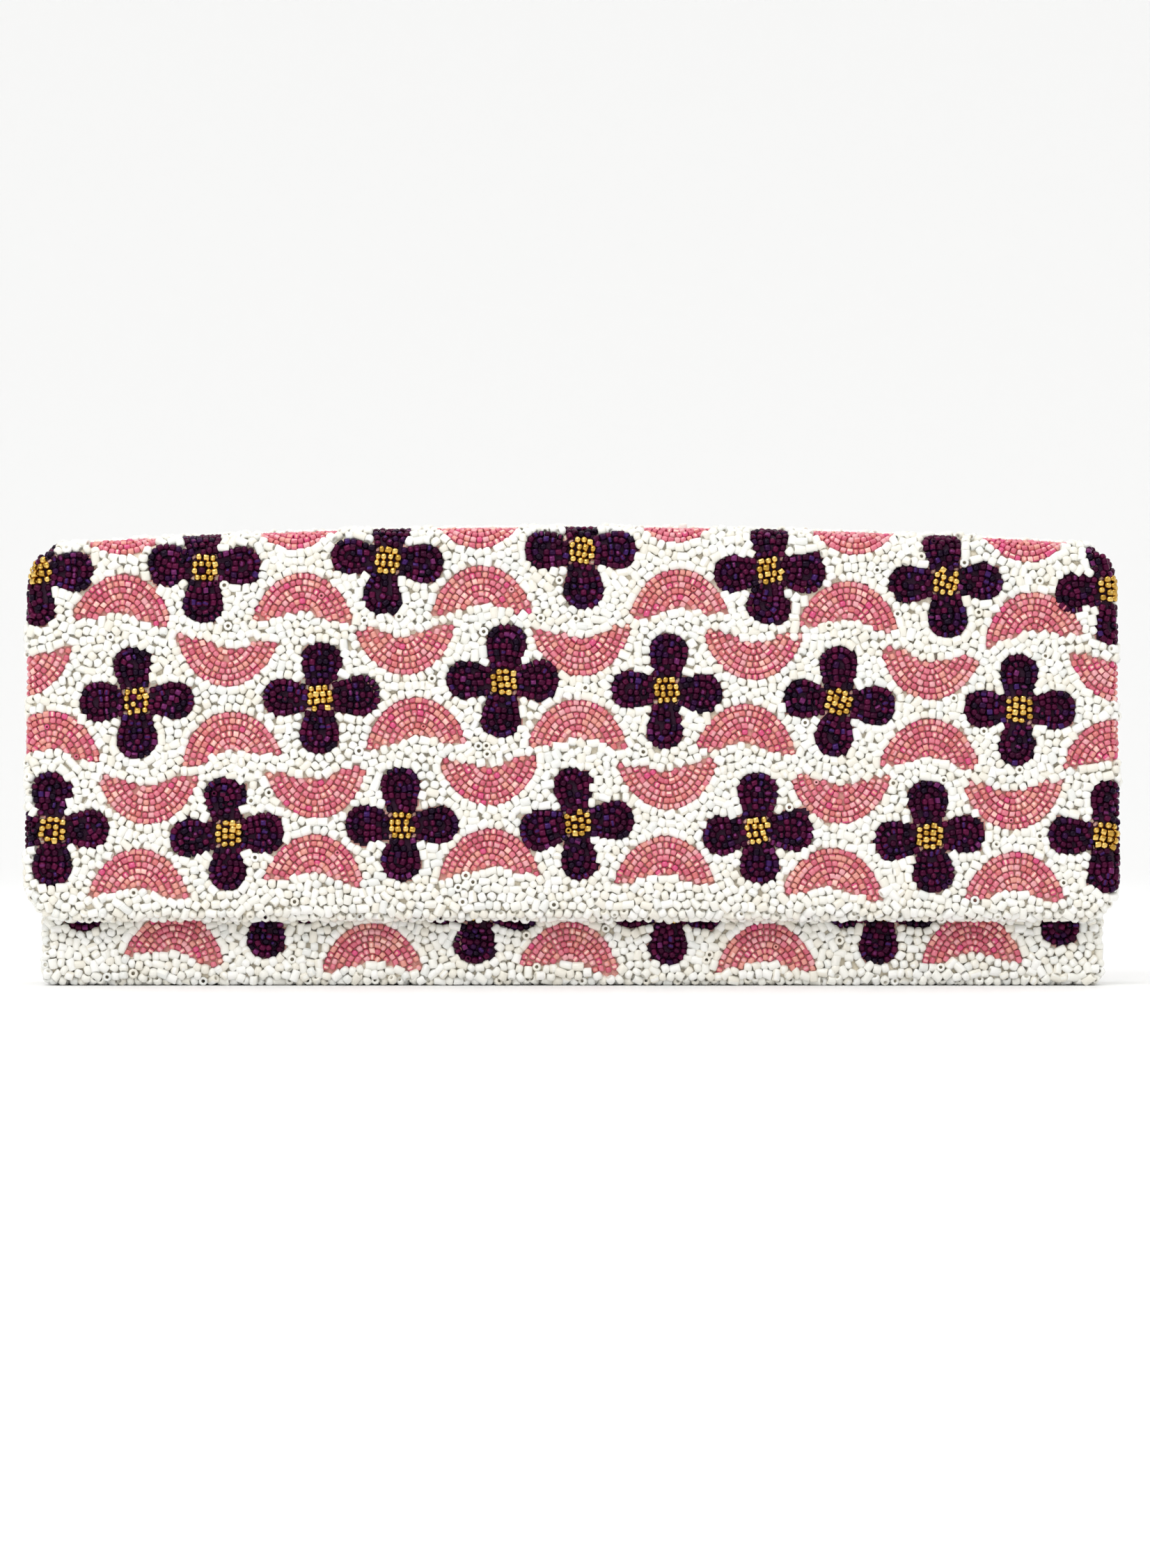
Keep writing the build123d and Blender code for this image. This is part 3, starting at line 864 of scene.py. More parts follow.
class Look:
    """A material in the making."""

    def __init__(self, name):
        self.material = bpy.data.materials.new(name)
        self.material.use_nodes = True
        self.tree = self.material.node_tree

    def feed(self, node, inputs):
        """Gives a node's inputs their values, or links them to what feeds them."""
        for key, value in inputs.items():
            if isinstance(value, bpy.types.NodeSocket):
                self.tree.links.new(value, node.inputs[key])
            else:
                node.inputs[key].default_value = value

    def add(self, kind, inputs, **settings):
        """A new node's outputs."""
        made = self.tree.nodes.new("ShaderNode" + kind)
        for key, value in settings.items():
            setattr(made, key, value)
        self.feed(made, inputs)
        return made.outputs

    def ramp(self, value, dark, light, low=0.0, high=1.0):
        made = self.tree.nodes.new("ShaderNodeValToRGB")
        self.feed(made, {"Fac": value})
        for element, colour, position in zip(made.color_ramp.elements, (dark, light), (low, high)):
            element.color, element.position = (*colour, 1), position
        return made.outputs["Color"]

    def finished(self, inputs):
        """The material, with these inputs to its shader."""
        self.feed(self.tree.nodes["Principled BSDF"], inputs)
        return self.material


def glass(name, colour, rough, coat, metal=0.0, specular=0.5):
    """Glass or metal-lined bead, the same shade all over a face, as on the real ones."""
    made = Look("bead_" + name).finished(
        {
            "Base Color": (*colour, 1),
            "Roughness": rough,
            "Metallic": metal,
            "Specular IOR Level": specular,
            "Coat Weight": coat,
            "Coat Roughness": 0.08,
            "IOR": 1.52,
        }
    )
    made.diffuse_color = (*colour, 1)
    return made


chalky = partial(glass, specular=0.3)
lined = partial(glass, metal=0.35, specular=0.12)
gilded = partial(glass, coat=0.25, metal=1.0)
PALETTE = {
    WHITE: (
        chalky("chalk", (0.90, 0.885, 0.82), 0.36, 0.2),
        chalky("pearl", (0.92, 0.91, 0.85), 0.26, 0.45),
        chalky("cream", (0.87, 0.835, 0.74), 0.3, 0.3),
        chalky("snow", (0.95, 0.945, 0.91), 0.38, 0.1),
        glass("satin", (0.84, 0.845, 0.81), 0.22, 0.5, specular=0.4),
        chalky("ivory", (0.89, 0.86, 0.77), 0.28, 0.45),
    ),
    PINK: (
        glass("rose", (0.60, 0.105, 0.165), 0.2, 0.35),
        glass("pink", (0.71, 0.170, 0.235), 0.2, 0.35),
        glass("peach", (0.77, 0.31, 0.26), 0.2, 0.35),
        glass("blush", (0.80, 0.36, 0.39), 0.18, 0.4),
        glass("coral", (0.66, 0.160, 0.165), 0.2, 0.35),
        # shell is used only as a painted highlight on other pink beads
        glass("painted_glint_shell", (0.93, 0.55, 0.48), 0.16, 0.4),
        glass("fuchsia", (0.68, 0.065, 0.20), 0.2, 0.35),
    ),
    PURPLE: (
        lined("aubergine", (0.035, 0.001, 0.018), 0.26, 0.02),
        lined("plum", (0.058, 0.002, 0.026), 0.26, 0.02),
        lined("violet", (0.028, 0.003, 0.036), 0.26, 0.03),
        lined("midnight", (0.010, 0.002, 0.013), 0.22, 0.03),
        # glint and indigo are used only as painted highlights on other purple beads
        lined("painted_glint", (0.14, 0.018, 0.105), 0.22, 0.06),
        lined("painted_glint_indigo", (0.046, 0.012, 0.105), 0.22, 0.06),
        lined("berry", (0.095, 0.004, 0.038), 0.26, 0.03),
    ),
    GOLD: (
        gilded("gold", (0.56, 0.32, 0.055), 0.22),
        gilded("old_gold", (0.46, 0.26, 0.04), 0.26),
        gilded("bright_gold", (0.80, 0.54, 0.15), 0.18),
    ),
}
SHARES = {
    WHITE: (0.26, 0.18, 0.14, 0.2, 0.1, 0.12),
    PINK: (0.24, 0.29, 0.14, 0.10, 0.16, 0.0, 0.07),
    PURPLE: (0.34, 0.24, 0.12, 0.20, 0.0, 0.0, 0.10),
    GOLD: (0.45, 0.3, 0.25),
}
# Painted highlights: lighter shades put on the outward faces of a bead's waist stand in for the lamps'
# reflection. The share says how many beads get one.
PAINTED_GLINTS = {WHITE: (3, 1), PINK: (2, 3, 5), PURPLE: (4, 5, 6, 1), GOLD: (2,)}
PAINTED_GLINT_SHARE = {WHITE: 0.5, PINK: 0.62, PURPLE: 0.5, GOLD: 0.8}
# Painted shade: the wall of each bead's hole takes one of its family's darker shades.
PAINTED_HOLE_SHADE = {WHITE: 2, PINK: 0, PURPLE: 3, GOLD: 1}
FAMILY = {WHITE: "white", PINK: "pink", PURPLE: "purple", GOLD: "gold"}


def fabric(name, light, dark, thread, rough, sheen=0.3, relief=0.25, grounds=(), twill=False):
    """Woven cloth. The weave follows the piece's own flat coordinates, kept with its points."""
    look = Look(name)
    flat = look.add("Attribute", {}, attribute_name="flat")["Vector"]
    stripes = {"Scale": math.pi / (10 * thread * MM), "Distortion": 0.6, "Detail": 1.0, "Vector": flat}
    directions = ("DIAGONAL", "Y") if twill else ("X", "Y")
    warp, weft = (look.add("TexWave", stripes, bands_direction=way)["Fac"] for way in directions)
    weave = look.add("Math", {0: warp, 1: weft}, operation="MAXIMUM")[0]
    cloud = look.add("TexNoise", {"Scale": 60.0, "Detail": 5.0, "Vector": flat})["Fac"]
    mottled = look.add("Math", {0: weave, 1: cloud}, operation="MULTIPLY")[0]
    colour = look.ramp(mottled, dark, light, high=0.6)
    # Under the motifs the cloth takes a ground colour: partly the coloured thread's own colour, partly
    # painted light and shade tinted by the translucent beads above.
    for level, thread_and_light_tint in enumerate(grounds, 1):
        ground = look.add("Attribute", {}, attribute_name="ground")["Fac"]
        over = look.add("Math", {0: ground, 1: level - 0.5}, operation="GREATER_THAN")[0]
        both = {"A": colour, "B": (*thread_and_light_tint, 1), "Factor": over}
        colour = look.add("Mix", both, data_type="RGBA")["Result"]
    gloss = {"Value": mottled, "To Min": rough + 0.12, "To Max": rough - 0.05}
    bump = {"Strength": relief, "Distance": thread * MM, "Height": weave}
    return look.finished(
        {
            "Base Color": colour,
            "Roughness": look.add("MapRange", gloss)["Result"],
            "Normal": look.add("Bump", bump)["Normal"],
            "Sheen Weight": sheen,
            "Sheen Roughness": 0.4,
        }
    )


def solid_finish(name, dark, light, rough, metal, grain, stretch=(1, 1, 1), relief=0.1):
    """A board or a metal with grain, colour variation and uneven gloss."""
    look = Look(name)
    where = look.add("TexCoord", {})["Object"]
    spread = look.add("Mapping", {"Scale": stretch, "Vector": where})["Vector"]
    fine = look.add("TexNoise", {"Scale": grain, "Detail": 6.0, "Vector": spread})["Fac"]
    wide = look.add("TexNoise", {"Scale": grain / 12, "Vector": spread})["Fac"]
    both = look.add("Math", {0: fine, 1: 0.5, 2: wide}, operation="MULTIPLY_ADD")[0]
    gloss = {"Value": fine, "To Min": max(rough - 0.08, 0.05), "To Max": rough + 0.12}
    bump = {"Strength": relief, "Distance": 0.1 * MM, "Height": fine}
    return look.finished(
        {
            "Base Color": look.ramp(both, dark, light, 0.5, 0.95),
            "Roughness": look.add("MapRange", gloss)["Result"],
            "Normal": look.add("Bump", bump)["Normal"],
            "Metallic": metal,
        }
    )


def thread_finish():
    look = Look("ecru_thread")
    fuzz = look.add("TexNoise", {"Scale": 900.0})["Fac"]
    colour = look.ramp(fuzz, (0.52, 0.44, 0.33), (0.80, 0.73, 0.60))
    return look.finished({"Base Color": colour, "Roughness": 0.6})


def paper_finish():
    look = Look("floor_paper")
    gloss = {"Value": look.add("TexNoise", {"Scale": 3.0})["Fac"], "To Min": 0.55, "To Max": 0.65}
    rough = look.add("MapRange", gloss)["Result"]
    return look.finished({"Base Color": (0.93, 0.93, 0.93, 1), "Roughness": rough})


# Ground colours under the half-moons and the flowers: partly thread colour, partly painted light and shade
# coloured by the beads above them.
ROSE_GROUND = (0.80, 0.40, 0.35)
PLUM_GROUND = (0.030, 0.004, 0.024)
cotton = fabric(
    "beige_cotton", (0.97, 0.89, 0.74), (0.88, 0.79, 0.62), 0.5, 0.85, grounds=(ROSE_GROUND, PLUM_GROUND)
)
satin = fabric("champagne_satin", (0.66, 0.56, 0.43), (0.48, 0.39, 0.28), 0.28, 0.34, 0.25, 0.15, twill=True)
wadding = fabric("white_wadding", (0.93, 0.93, 0.92), (0.85, 0.85, 0.84), 0.9, 0.9, relief=0.5)
thread = thread_finish()

# -------------------- meshes and how they move


def add_mesh(name, points, faces, materials, face_material=None):
    """A mesh object from points in mm and an array of quads."""
    mesh = bpy.data.meshes.new(name)
    points = np.asarray(points, np.float32).reshape(-1, 3) * np.float32(MM)
    count, corners = len(faces), faces.shape[1]
    mesh.vertices.add(len(points))
    mesh.vertices.foreach_set("co", points.ravel())
    mesh.loops.add(count * corners)
    mesh.loops.foreach_set("vertex_index", np.asarray(faces, np.int32).ravel())
    mesh.polygons.add(count)
    mesh.polygons.foreach_set("loop_start", np.arange(count, dtype=np.int32) * corners)
    mesh.polygons.foreach_set("use_smooth", np.full(count, True))
    for one in materials:
        mesh.materials.append(one)
    if face_material is not None:
        mesh.polygons.foreach_set("material_index", np.asarray(face_material, np.int32))
    mesh.update()
    mesh.validate()
    made = bpy.data.objects.new(name, mesh)
    bpy.context.scene.collection.objects.link(made)
    return made


def quads_over(k, flip=False):
    """Faces between neighbouring entries of a grid of point numbers."""
    quads = np.stack([k[:-1, :-1], k[:-1, 1:], k[1:, 1:], k[1:, :-1]], axis=-1).reshape(-1, 4)
    return quads[:, ::-1] if flip else quads


def numbered(rows, columns, first=0):
    """A grid of point numbers."""
    return first + np.arange(rows * columns).reshape(rows, columns)


def closed(numbers):
    """A grid of point numbers whose rows join up."""
    return np.concatenate([numbers, numbers[:, :1]], axis=1)


# A crease's hinge line, which leans so that the bowed ends would bend too; it is worked out, but nothing is
# made to bend round it.
BLEND_LEAN = math.radians(22)
BLEND_BACK = 7.0  # how far it reaches from the middle of the crease's roll on to the spine
BLEND_LENGTH = 11.0


def crease_line(side, reach):
    """Start and end, on the spine's side and on the panel's, of the bend round a crease."""
    yc, zc = arc_centre(np.zeros(1), side, reach)
    middle = THETA + QUARTER / 2
    y, z = yc[0] + side * BEND * math.cos(middle), zc[0] + BEND * math.sin(middle)
    dy, dz = side * math.cos(BLEND_LEAN), -math.sin(BLEND_LEAN)
    spine_end = (0, (y - BLEND_BACK * dy) * MM, (z - BLEND_BACK * dz) * MM)
    rest = BLEND_LENGTH - BLEND_BACK
    panel_end = (0, (y + rest * dy) * MM, (z + rest * dz) * MM)
    return spine_end, panel_end


BACK_CREASE = crease_line(1, REACH_BODY)
FLAP_CREASE = crease_line(-1, REACH_FLAP)


def on_back_crease(piece):
    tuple(BACK_CREASE[1])
    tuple(BACK_CREASE[0])
    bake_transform(piece)


def on_flap_crease(piece):
    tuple(FLAP_CREASE[0])
    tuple(FLAP_CREASE[1])
    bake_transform(piece)


def on_bag(piece):
    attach(piece, "bag")


def on_flap(piece):
    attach(piece, "flap")


def put(piece, place, slot, *nodes):
    """A piece on its body or crease, standing for CAD nodes; slot is not used."""
    place(piece)
    if nodes:
        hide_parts(*nodes)
    return piece


# -------------------- beads

SEGMENTS = 8
HALF_ROUND = ((0.36, 1.0), (0.86, 0.80), (0.97, 0.40))  # (along, out) as shares of half length and radius
HALF_CUT = ((0.80, 1.0), (1.0, 0.84), (0.94, 0.42))
ROUND_PROFILE, CUT_PROFILE = (
    np.array([(-along, out) for along, out in half[::-1]] + list(half)) for half in (HALF_ROUND, HALF_CUT)
)
RINGS = len(ROUND_PROFILE)
WAIST, HOLE_WALL = 2, 5  # rings of faces
FACING = (1, 2)  # segments that face outwards
MOST_BEADS = 1950  # in one piece
UNEVEN, UNEVEN_IN_MOTIF = (0.13, 0.17), (0.05, 0.07)  # how much lift and tilt wander
PROUD = 0.06  # share of white beads that stand out
RAISED = 0.12  # of motifs over the white ground
FLOOR = -0.15  # the beads that stand on the floor are pressed up into the cloth


def bead_points(point, axis, normal, half, radius, cut):
    """Vertices of every bead: a ring with a hole along its axis."""
    n = len(point)
    side = np.cross(normal, axis)
    side /= np.linalg.norm(side, axis=1, keepdims=True)
    top = np.cross(axis, side)
    profile = np.where(cut[:, None, None], CUT_PROFILE, ROUND_PROFILE)
    angle = np.linspace(0, 2 * math.pi, SEGMENTS, endpoint=False) + rng.uniform(0, 1, n)[:, None]
    slant = np.where(cut, rng.normal(0, 0.09, n), 0.0)
    skew = (slant * radius)[:, None, None] * np.cos(angle)[:, None, :]
    along = (profile[:, :, 0] * half[:, None])[:, :, None] + skew * profile[:, :, 1][:, :, None]
    out = (profile[:, :, 1] * radius[:, None])[:, :, None]
    across = out * np.cos(angle)[:, None, :]
    rise = out * np.sin(angle)[:, None, :]
    return (
        point[:, None, None, :]
        + axis[:, None, None, :] * along[..., None]
        + side[:, None, None, :] * across[..., None]
        + top[:, None, None, :] * rise[..., None]
    ).reshape(n, -1, 3)


def bead_faces(n):
    ring = closed(numbered(RINGS, SEGMENTS))
    one = quads_over(np.concatenate([ring, ring[:1]]))[:, [0, 3, 2, 1]]
    return (one[None] + (np.arange(n) * RINGS * SEGMENTS)[:, None, None]).reshape(-1, 4)


def bead_shades(kind, n):
    """A shade for every face: each bead has its own. Many also have a painted highlight, a lighter shade on
    the outward faces of the waist, and every hole's wall has painted shade, a darker shade of the family.
    """
    shade = rng.choice(len(PALETTE[kind]), n, p=SHARES[kind])
    faces = np.repeat(shade, RINGS * SEGMENTS).reshape(n, RINGS, SEGMENTS)
    painted_glint = rng.choice(PAINTED_GLINTS[kind], n)
    painted_glinting = rng.random(n) < PAINTED_GLINT_SHARE[kind]
    # painted highlight on the outward faces of the waist
    for segment in FACING:
        faces[:, WAIST, segment] = np.where(painted_glinting, painted_glint, shade)
    # on some beads the painted highlight reaches one face further round
    wide = painted_glinting & (rng.random(n) < 0.4)
    faces[:, WAIST, FACING[0] - 1] = np.where(wide, painted_glint, shade)
    # painted shade in the hole
    faces[:, HOLE_WALL] = PAINTED_HOLE_SHADE[kind]
    return faces.ravel()


def sewn(region, kind, beads):
    """Vertices of beads of one colour family, each sewn down a little askew."""
    n = len(beads["a"])
    lift_wander, tilt_wander = UNEVEN if kind == WHITE else UNEVEN_IN_MOTIF
    lift = rng.normal(0.0, lift_wander, n)
    lift += np.where(rng.random(n) < PROUD, rng.uniform(0.15, 0.45, n), 0) * (kind == WHITE)
    lift += RAISED * (kind != WHITE) + (beads["radius"] - 1.0)
    point, normal = region.lay(beads["a"], beads["b"], lift)
    axis = region.direction(beads["axis"])
    tilt = rng.normal(0, tilt_wander, n)[:, None]
    roll = rng.normal(0, 0.1, n)[:, None]
    cross = np.cross(normal, axis)
    axis = axis * np.cos(tilt) + normal * np.sin(tilt)
    up = normal * np.cos(roll) + cross * np.sin(roll)
    outward = beads["outward"][:, None]
    axis, up = np.where(outward, up, axis), np.where(outward, cross, up)
    axis /= np.linalg.norm(axis, axis=1, keepdims=True)
    points = bead_points(point, axis, up, beads["half"], beads["radius"], beads["cut"])
    points[:, :, 2] += np.maximum(FLOOR - points[:, :, 2].min(axis=1), 0)[:, None]
    return points


def sew(name, region, beads, chosen, place, node):
    """The chosen beads as pieces, each of one colour family."""
    for kind, family in FAMILY.items():
        mine = np.nonzero(chosen & (beads["colour"] == kind))[0]
        if not len(mine):
            continue
        mine = mine[np.argsort(beads["a"][mine], kind="stable")]
        parts = math.ceil(len(mine) / MOST_BEADS)
        for number, part in enumerate(np.array_split(mine, parts), 1):
            label = f"{name}_{family}_beads" + (f"_{number}" if parts > 1 else "")
            points = sewn(region, kind, {key: value[part] for key, value in beads.items()})
            shades = bead_shades(kind, len(part))
            made = add_mesh(label, points, bead_faces(len(part)), PALETTE[kind], shades)
            put(made, place, "beadwork", node)


CREASE_ZONE = half_spine(np.zeros(1))[0] + BEND * QUARTER + 4.5
s = strip_beads["b"]
sew("flap", strip_region, strip_beads, s > CREASE_ZONE, on_flap, "flap_beadwork")
ahead, behind = (s > 0) & (s <= CREASE_ZONE), (s <= 0) & (s >= -CREASE_ZONE)
sew("flap_crease", strip_region, strip_beads, ahead, on_flap_crease, "spine_beadwork")
sew("back_crease", strip_region, strip_beads, behind, on_back_crease, "spine_beadwork")
sew("back", strip_region, strip_beads, s < -CREASE_ZONE, on_bag, "back_beadwork")
sew("front", front_region, front_beads, True, on_bag, "front_beadwork")
u = girth_beads["a"]
LIMIT = GIRTH_FLAT + GIRTH_TURN / 2
sew("base", girth_region, girth_beads, np.abs(u) <= LIMIT, on_bag, "base_beadwork")
sew("left_gusset", girth_region, girth_beads, u < -LIMIT, on_bag, "left_gusset_beadwork")
sew("right_gusset", girth_region, girth_beads, u > LIMIT, on_bag, "right_gusset_beadwork")

# -------------------- cloth, in grids of flat coordinates


def keep_with(piece, name, values, kind="FLOAT"):
    attribute = piece.data.attributes.new(name, kind, "POINT")
    field = "vector" if kind == "FLOAT_VECTOR" else "value"
    attribute.data.foreach_set(field, values.astype(np.float32).ravel())


def add_cloth(name, points, faces, cloth, a, b, ground=None):
    """A cloth's mesh, which keeps its flat coordinates, and what ground shows, with its points."""
    piece = add_mesh(name, points, faces, [cloth])
    keep_with(piece, "flat", np.stack([a, b, 0 * a], axis=-1) * MM, "FLOAT_VECTOR")
    if ground is not None:
        keep_with(piece, "ground", ground)
    return piece


EDGE_GUESS = 130.0  # x of a panel's side edge, to start from


def panel_grid(inset, low, high, half, radius, rows, columns):
    """A grid inset from a panel's outline, which has rounded lower corners, from low up to high(x)."""
    share = np.linspace(0, 1, rows)
    first = low + inset

    def half_at(x, up):
        rise = np.clip(low + radius - up, 0, radius - inset)
        corner = radius - inset - np.sqrt(np.maximum((radius - inset) ** 2 - rise**2, 0))
        return half(x, up) - inset - np.where(up < low + radius, corner, 0)

    edge = np.full(rows, EDGE_GUESS)
    for _ in range(8):  # the edge bows, so its height and its x are found in turns
        edge = half_at(edge, first + share * (high(edge) - first))
    x = edge[:, None] * np.linspace(-1, 1, columns)
    return x, first + share[:, None] * (high(x) - first)


def flap_grid(inset, rows, columns, high=middle_at):
    """The flap's side, from its lower edge up to the middle of the spine, in the strip's (x, s)."""
    x, up = panel_grid(inset, FLAP_LOW, high, flap_half, FLAP_CORNER, rows, columns)
    return x, middle_at(x) - up


def rim_band(region, lift, path_a, path_b, turns, count=9):
    """Points of a cloth rolled round the rim, outwards from a path along the start of the roll."""
    _, oa, ob = region.rim(path_a, path_b)
    reach = region.radius(path_a, path_b) * np.linspace(0, 1, count)[:, None] * turns
    a, b = path_a + oa * reach, path_b + ob * reach
    points, _ = region.lay(a, b, np.full(a.shape, lift))
    return points, a, b


def border(grid):
    """A grid's left side downwards, its first row, then its right side upwards."""
    return np.concatenate([grid[::-1, 0], grid[0, 1:-1], grid[:, -1]])


def cloth_piece(name, region, a, b, lift, cloth, ground=None, turns=None, ripple=0.0):
    """A sheet that follows a region's surface, with its edge rolled round the rim if turns says how far."""
    wave = np.sin(a * 0.23 + b * 0.05) * np.sin(b * 0.19 - a * 0.03) + 0.6 * np.sin(a * 0.61 + b * 0.47)
    points, _ = region.lay(a, b, lift + ripple * wave)
    points, numbers = points.reshape(-1, 3), numbered(*a.shape)
    faces, flat_a, flat_b = quads_over(numbers), a.ravel(), b.ravel()
    if turns is not None:
        path = border(a), border(b)
        band, band_a, band_b = (part[1:] for part in rim_band(region, lift, *path, turns(*path)))
        rolled_on = np.concatenate([border(numbers)[None], numbered(*band_a.shape, first=len(points))])
        points = np.concatenate([points, band.reshape(-1, 3)])
        faces = np.concatenate([faces, quads_over(rolled_on, flip=True)])
        flat_a = np.concatenate([flat_a, band_a.ravel()])
        flat_b = np.concatenate([flat_b, band_b.ravel()])
    return add_cloth(name, points, faces, cloth, flat_a, flat_b, ground and ground(flat_a, flat_b))


CLOTH_LIFT = SEAT - BEADS + 0.55  # the beads press into the cloth
FLAP_INSET = RIM_FLAP + SEAT
SPINE_INSET = RIM_SPINE + SEAT
BODY_INSET = RIM_BODY + SEAT
FINE = 0.8  # mm between a bead cloth's points
UNDER_EDGES = 1.2  # the gussets' cloth reaches this far under the front's and the back's

x, s = flap_grid(FLAP_INSET, int((STRIP_FRONT - FLAP_INSET) / FINE), int(2 * HALF_FLAP / FINE))
flap_cloth = cloth_piece(
    "flap_cloth_sheet",
    strip_region,
    x,
    s,
    CLOTH_LIFT,
    cotton,
    strip_ground,
    lambda x, s: np.full(x.shape, math.pi),
)
put(flap_cloth, on_flap_crease, "base_cloth", "flap_cloth", "spine_cloth")

# The back's side, from the base up to the middle of the spine.
rows, columns = int(-STRIP_BACK / FINE), int(2 * HALF_SPINE / FINE)
x, up = panel_grid(BODY_INSET, 0.0, middle_at, lambda x, up: HALF_SPINE, GIRTH_CORNER, rows, columns)
back_cloth = cloth_piece(
    "back_cloth_sheet",
    strip_region,
    x,
    up - middle_at(x),
    CLOTH_LIFT,
    cotton,
    strip_ground,
    lambda x, s: np.where(over_gusset(x, s), TURN_SQUARE, math.pi),
)
put(back_cloth, on_back_crease, "base_cloth", "back_cloth")

# The front panel, whose cloth turns over the mouth.
rows, columns = int(MOUTH_UP / FINE), int(2 * HALF_BODY / FINE)
ROLL_UP = MOUTH_UP - BODY_INSET
x, up = panel_grid(
    BODY_INSET, 0.0, lambda x: ROLL_UP + 0 * x, lambda x, up: HALF_BODY, GIRTH_CORNER, rows, columns
)
front_cloth = cloth_piece(
    "front_cloth_sheet",
    front_region,
    x,
    up,
    CLOTH_LIFT,
    cotton,
    front_motifs.ground,
    lambda x, up: np.full(x.shape, TURN_SQUARE),
)
put(front_cloth, on_bag, "base_cloth", "front_cloth")

HEM = 10.0
path_x = np.linspace(-HALF_BODY + BODY_INSET, HALF_BODY - BODY_INSET, 180)
band, _, _ = rim_band(front_region, CLOTH_LIFT, path_x, np.full(path_x.shape, ROLL_UP), math.pi)
tail = band[-1:] + np.array([0, -LEAN, -1.0]) * (np.linspace(0, 1, 6) * HEM)[:, None, None]
band = np.concatenate([band, tail[1:]])
flat_x, run = np.broadcast_arrays(path_x, np.arange(len(band), dtype=float)[:, None])
faces = quads_over(numbered(*flat_x.shape), flip=True)
mouth_hem = add_cloth("mouth_hem", band, faces, cotton, flat_x, run, np.zeros(flat_x.shape))
put(mouth_hem, on_bag, "base_cloth")

# One strip down a side, along the base and up the other side.
u = np.linspace(-1, 1, 420)[:, None] * (GIRTH_END - BODY_INSET)
v = np.linspace(-1, 1, 24) * (girth_half(u) + UNDER_EDGES)
u = u + 0 * v
points, _ = girth_region.lay(u, v, np.full(v.shape, CLOTH_LIFT))
faces = quads_over(numbered(*v.shape), flip=True)
girth_cloth = add_cloth("girth_cloth_sheet", points, faces, cotton, u, v, np.zeros(v.shape))
put(girth_cloth, on_bag, "base_cloth", "base_cloth", "left_gusset_cloth", "right_gusset_cloth")

# -------------------- satin linings

LINING_OVER = 0.7  # the lining reaches this far past the start of the cloth's roll
LINING_PROUD = 0.12  # and stands this far off its CAD solid's face


def lining_lift(x, s):
    """Lift of the lining's face over the surface of the beads' centres."""
    spine = BEADS + CLOTH + PAD + LINING
    ahead = FLAP_LAYERS - spine
    return SEAT - (spine + ahead * flap_share(x, s) + (WALL - spine) * flap_share(x, -s))


x, s = flap_grid(FLAP_INSET - LINING_OVER, 110, 260)
flap_satin = cloth_piece(
    "flap_satin_sheet", strip_region, x, s, lining_lift(x, s) - LINING_PROUD, satin, ripple=0.09
)
put(flap_satin, on_flap_crease, "lining_satin", "flap_lining", "spine_lining")

ROLL_START = CREASE_ZONE + 1.0
across = np.linspace(-1, 1, 260) * (HALF_SPINE - SPINE_INSET + LINING_OVER)
x, s = np.meshgrid(across, np.linspace(-ROLL_START, 0, 40))
roll_satin = cloth_piece(
    "back_roll_satin_sheet", strip_region, x, s, lining_lift(x, s) - LINING_PROUD, satin, ripple=0.05
)
put(roll_satin, on_back_crease, "lining_satin")

# The body's lining: one bag-shaped piece, a little slack.
LINING_HALF = HALF_BODY - BEADS - CLOTH - LINING
LINING_CORNER = 2.5
LONG, SHORT = 150, 12  # points along a long wall, with its corners, and along a side, without them
BACK_TOP = (middle_at(np.zeros(1))[0] - CREASE_ZONE) * COS + 1.0
UNDER_TOP = 0.8  # the lining's edge under the mouth's and the gussets'
HALFWAY = 60.0  # up the bag
FRONT_FACING, BACK_FACING = 0.06, 0.94  # share of the depth where the long walls end


def wall_y(z, side):
    return CENTRE_Y + side * (REACH_BODY - LEAN * z - WALL / COS)


def lining_loop(z, inset):
    """Points round the inside of the body at height z, anticlockwise from the front left corner."""
    half = LINING_HALF - inset
    near, far = wall_y(z, -1) + inset, wall_y(z, 1) - inset
    x, y = np.linspace(-half, half, LONG), np.linspace(near, far, SHORT + 2)[1:-1]
    xs = np.concatenate([x, np.full(SHORT, half), x[::-1], np.full(SHORT, -half)])
    ys = np.concatenate([np.full(LONG, near), y, np.full(LONG, far), y[::-1]])
    # corners rounded by drawing the points near them inwards
    dx = np.maximum(np.abs(xs) - (half - LINING_CORNER), 0)
    centre = (near + far) / 2
    dy = np.maximum(np.abs(ys - centre) - ((far - near) / 2 - LINING_CORNER), 0)
    far_out = np.maximum(np.hypot(dx, dy), 1e-6)
    pull = np.where((dx > 0) & (dy > 0), np.maximum(far_out - LINING_CORNER, 0) / far_out, 0)
    return xs - np.sign(xs) * dx * pull, ys - np.sign(ys - centre) * dy * pull


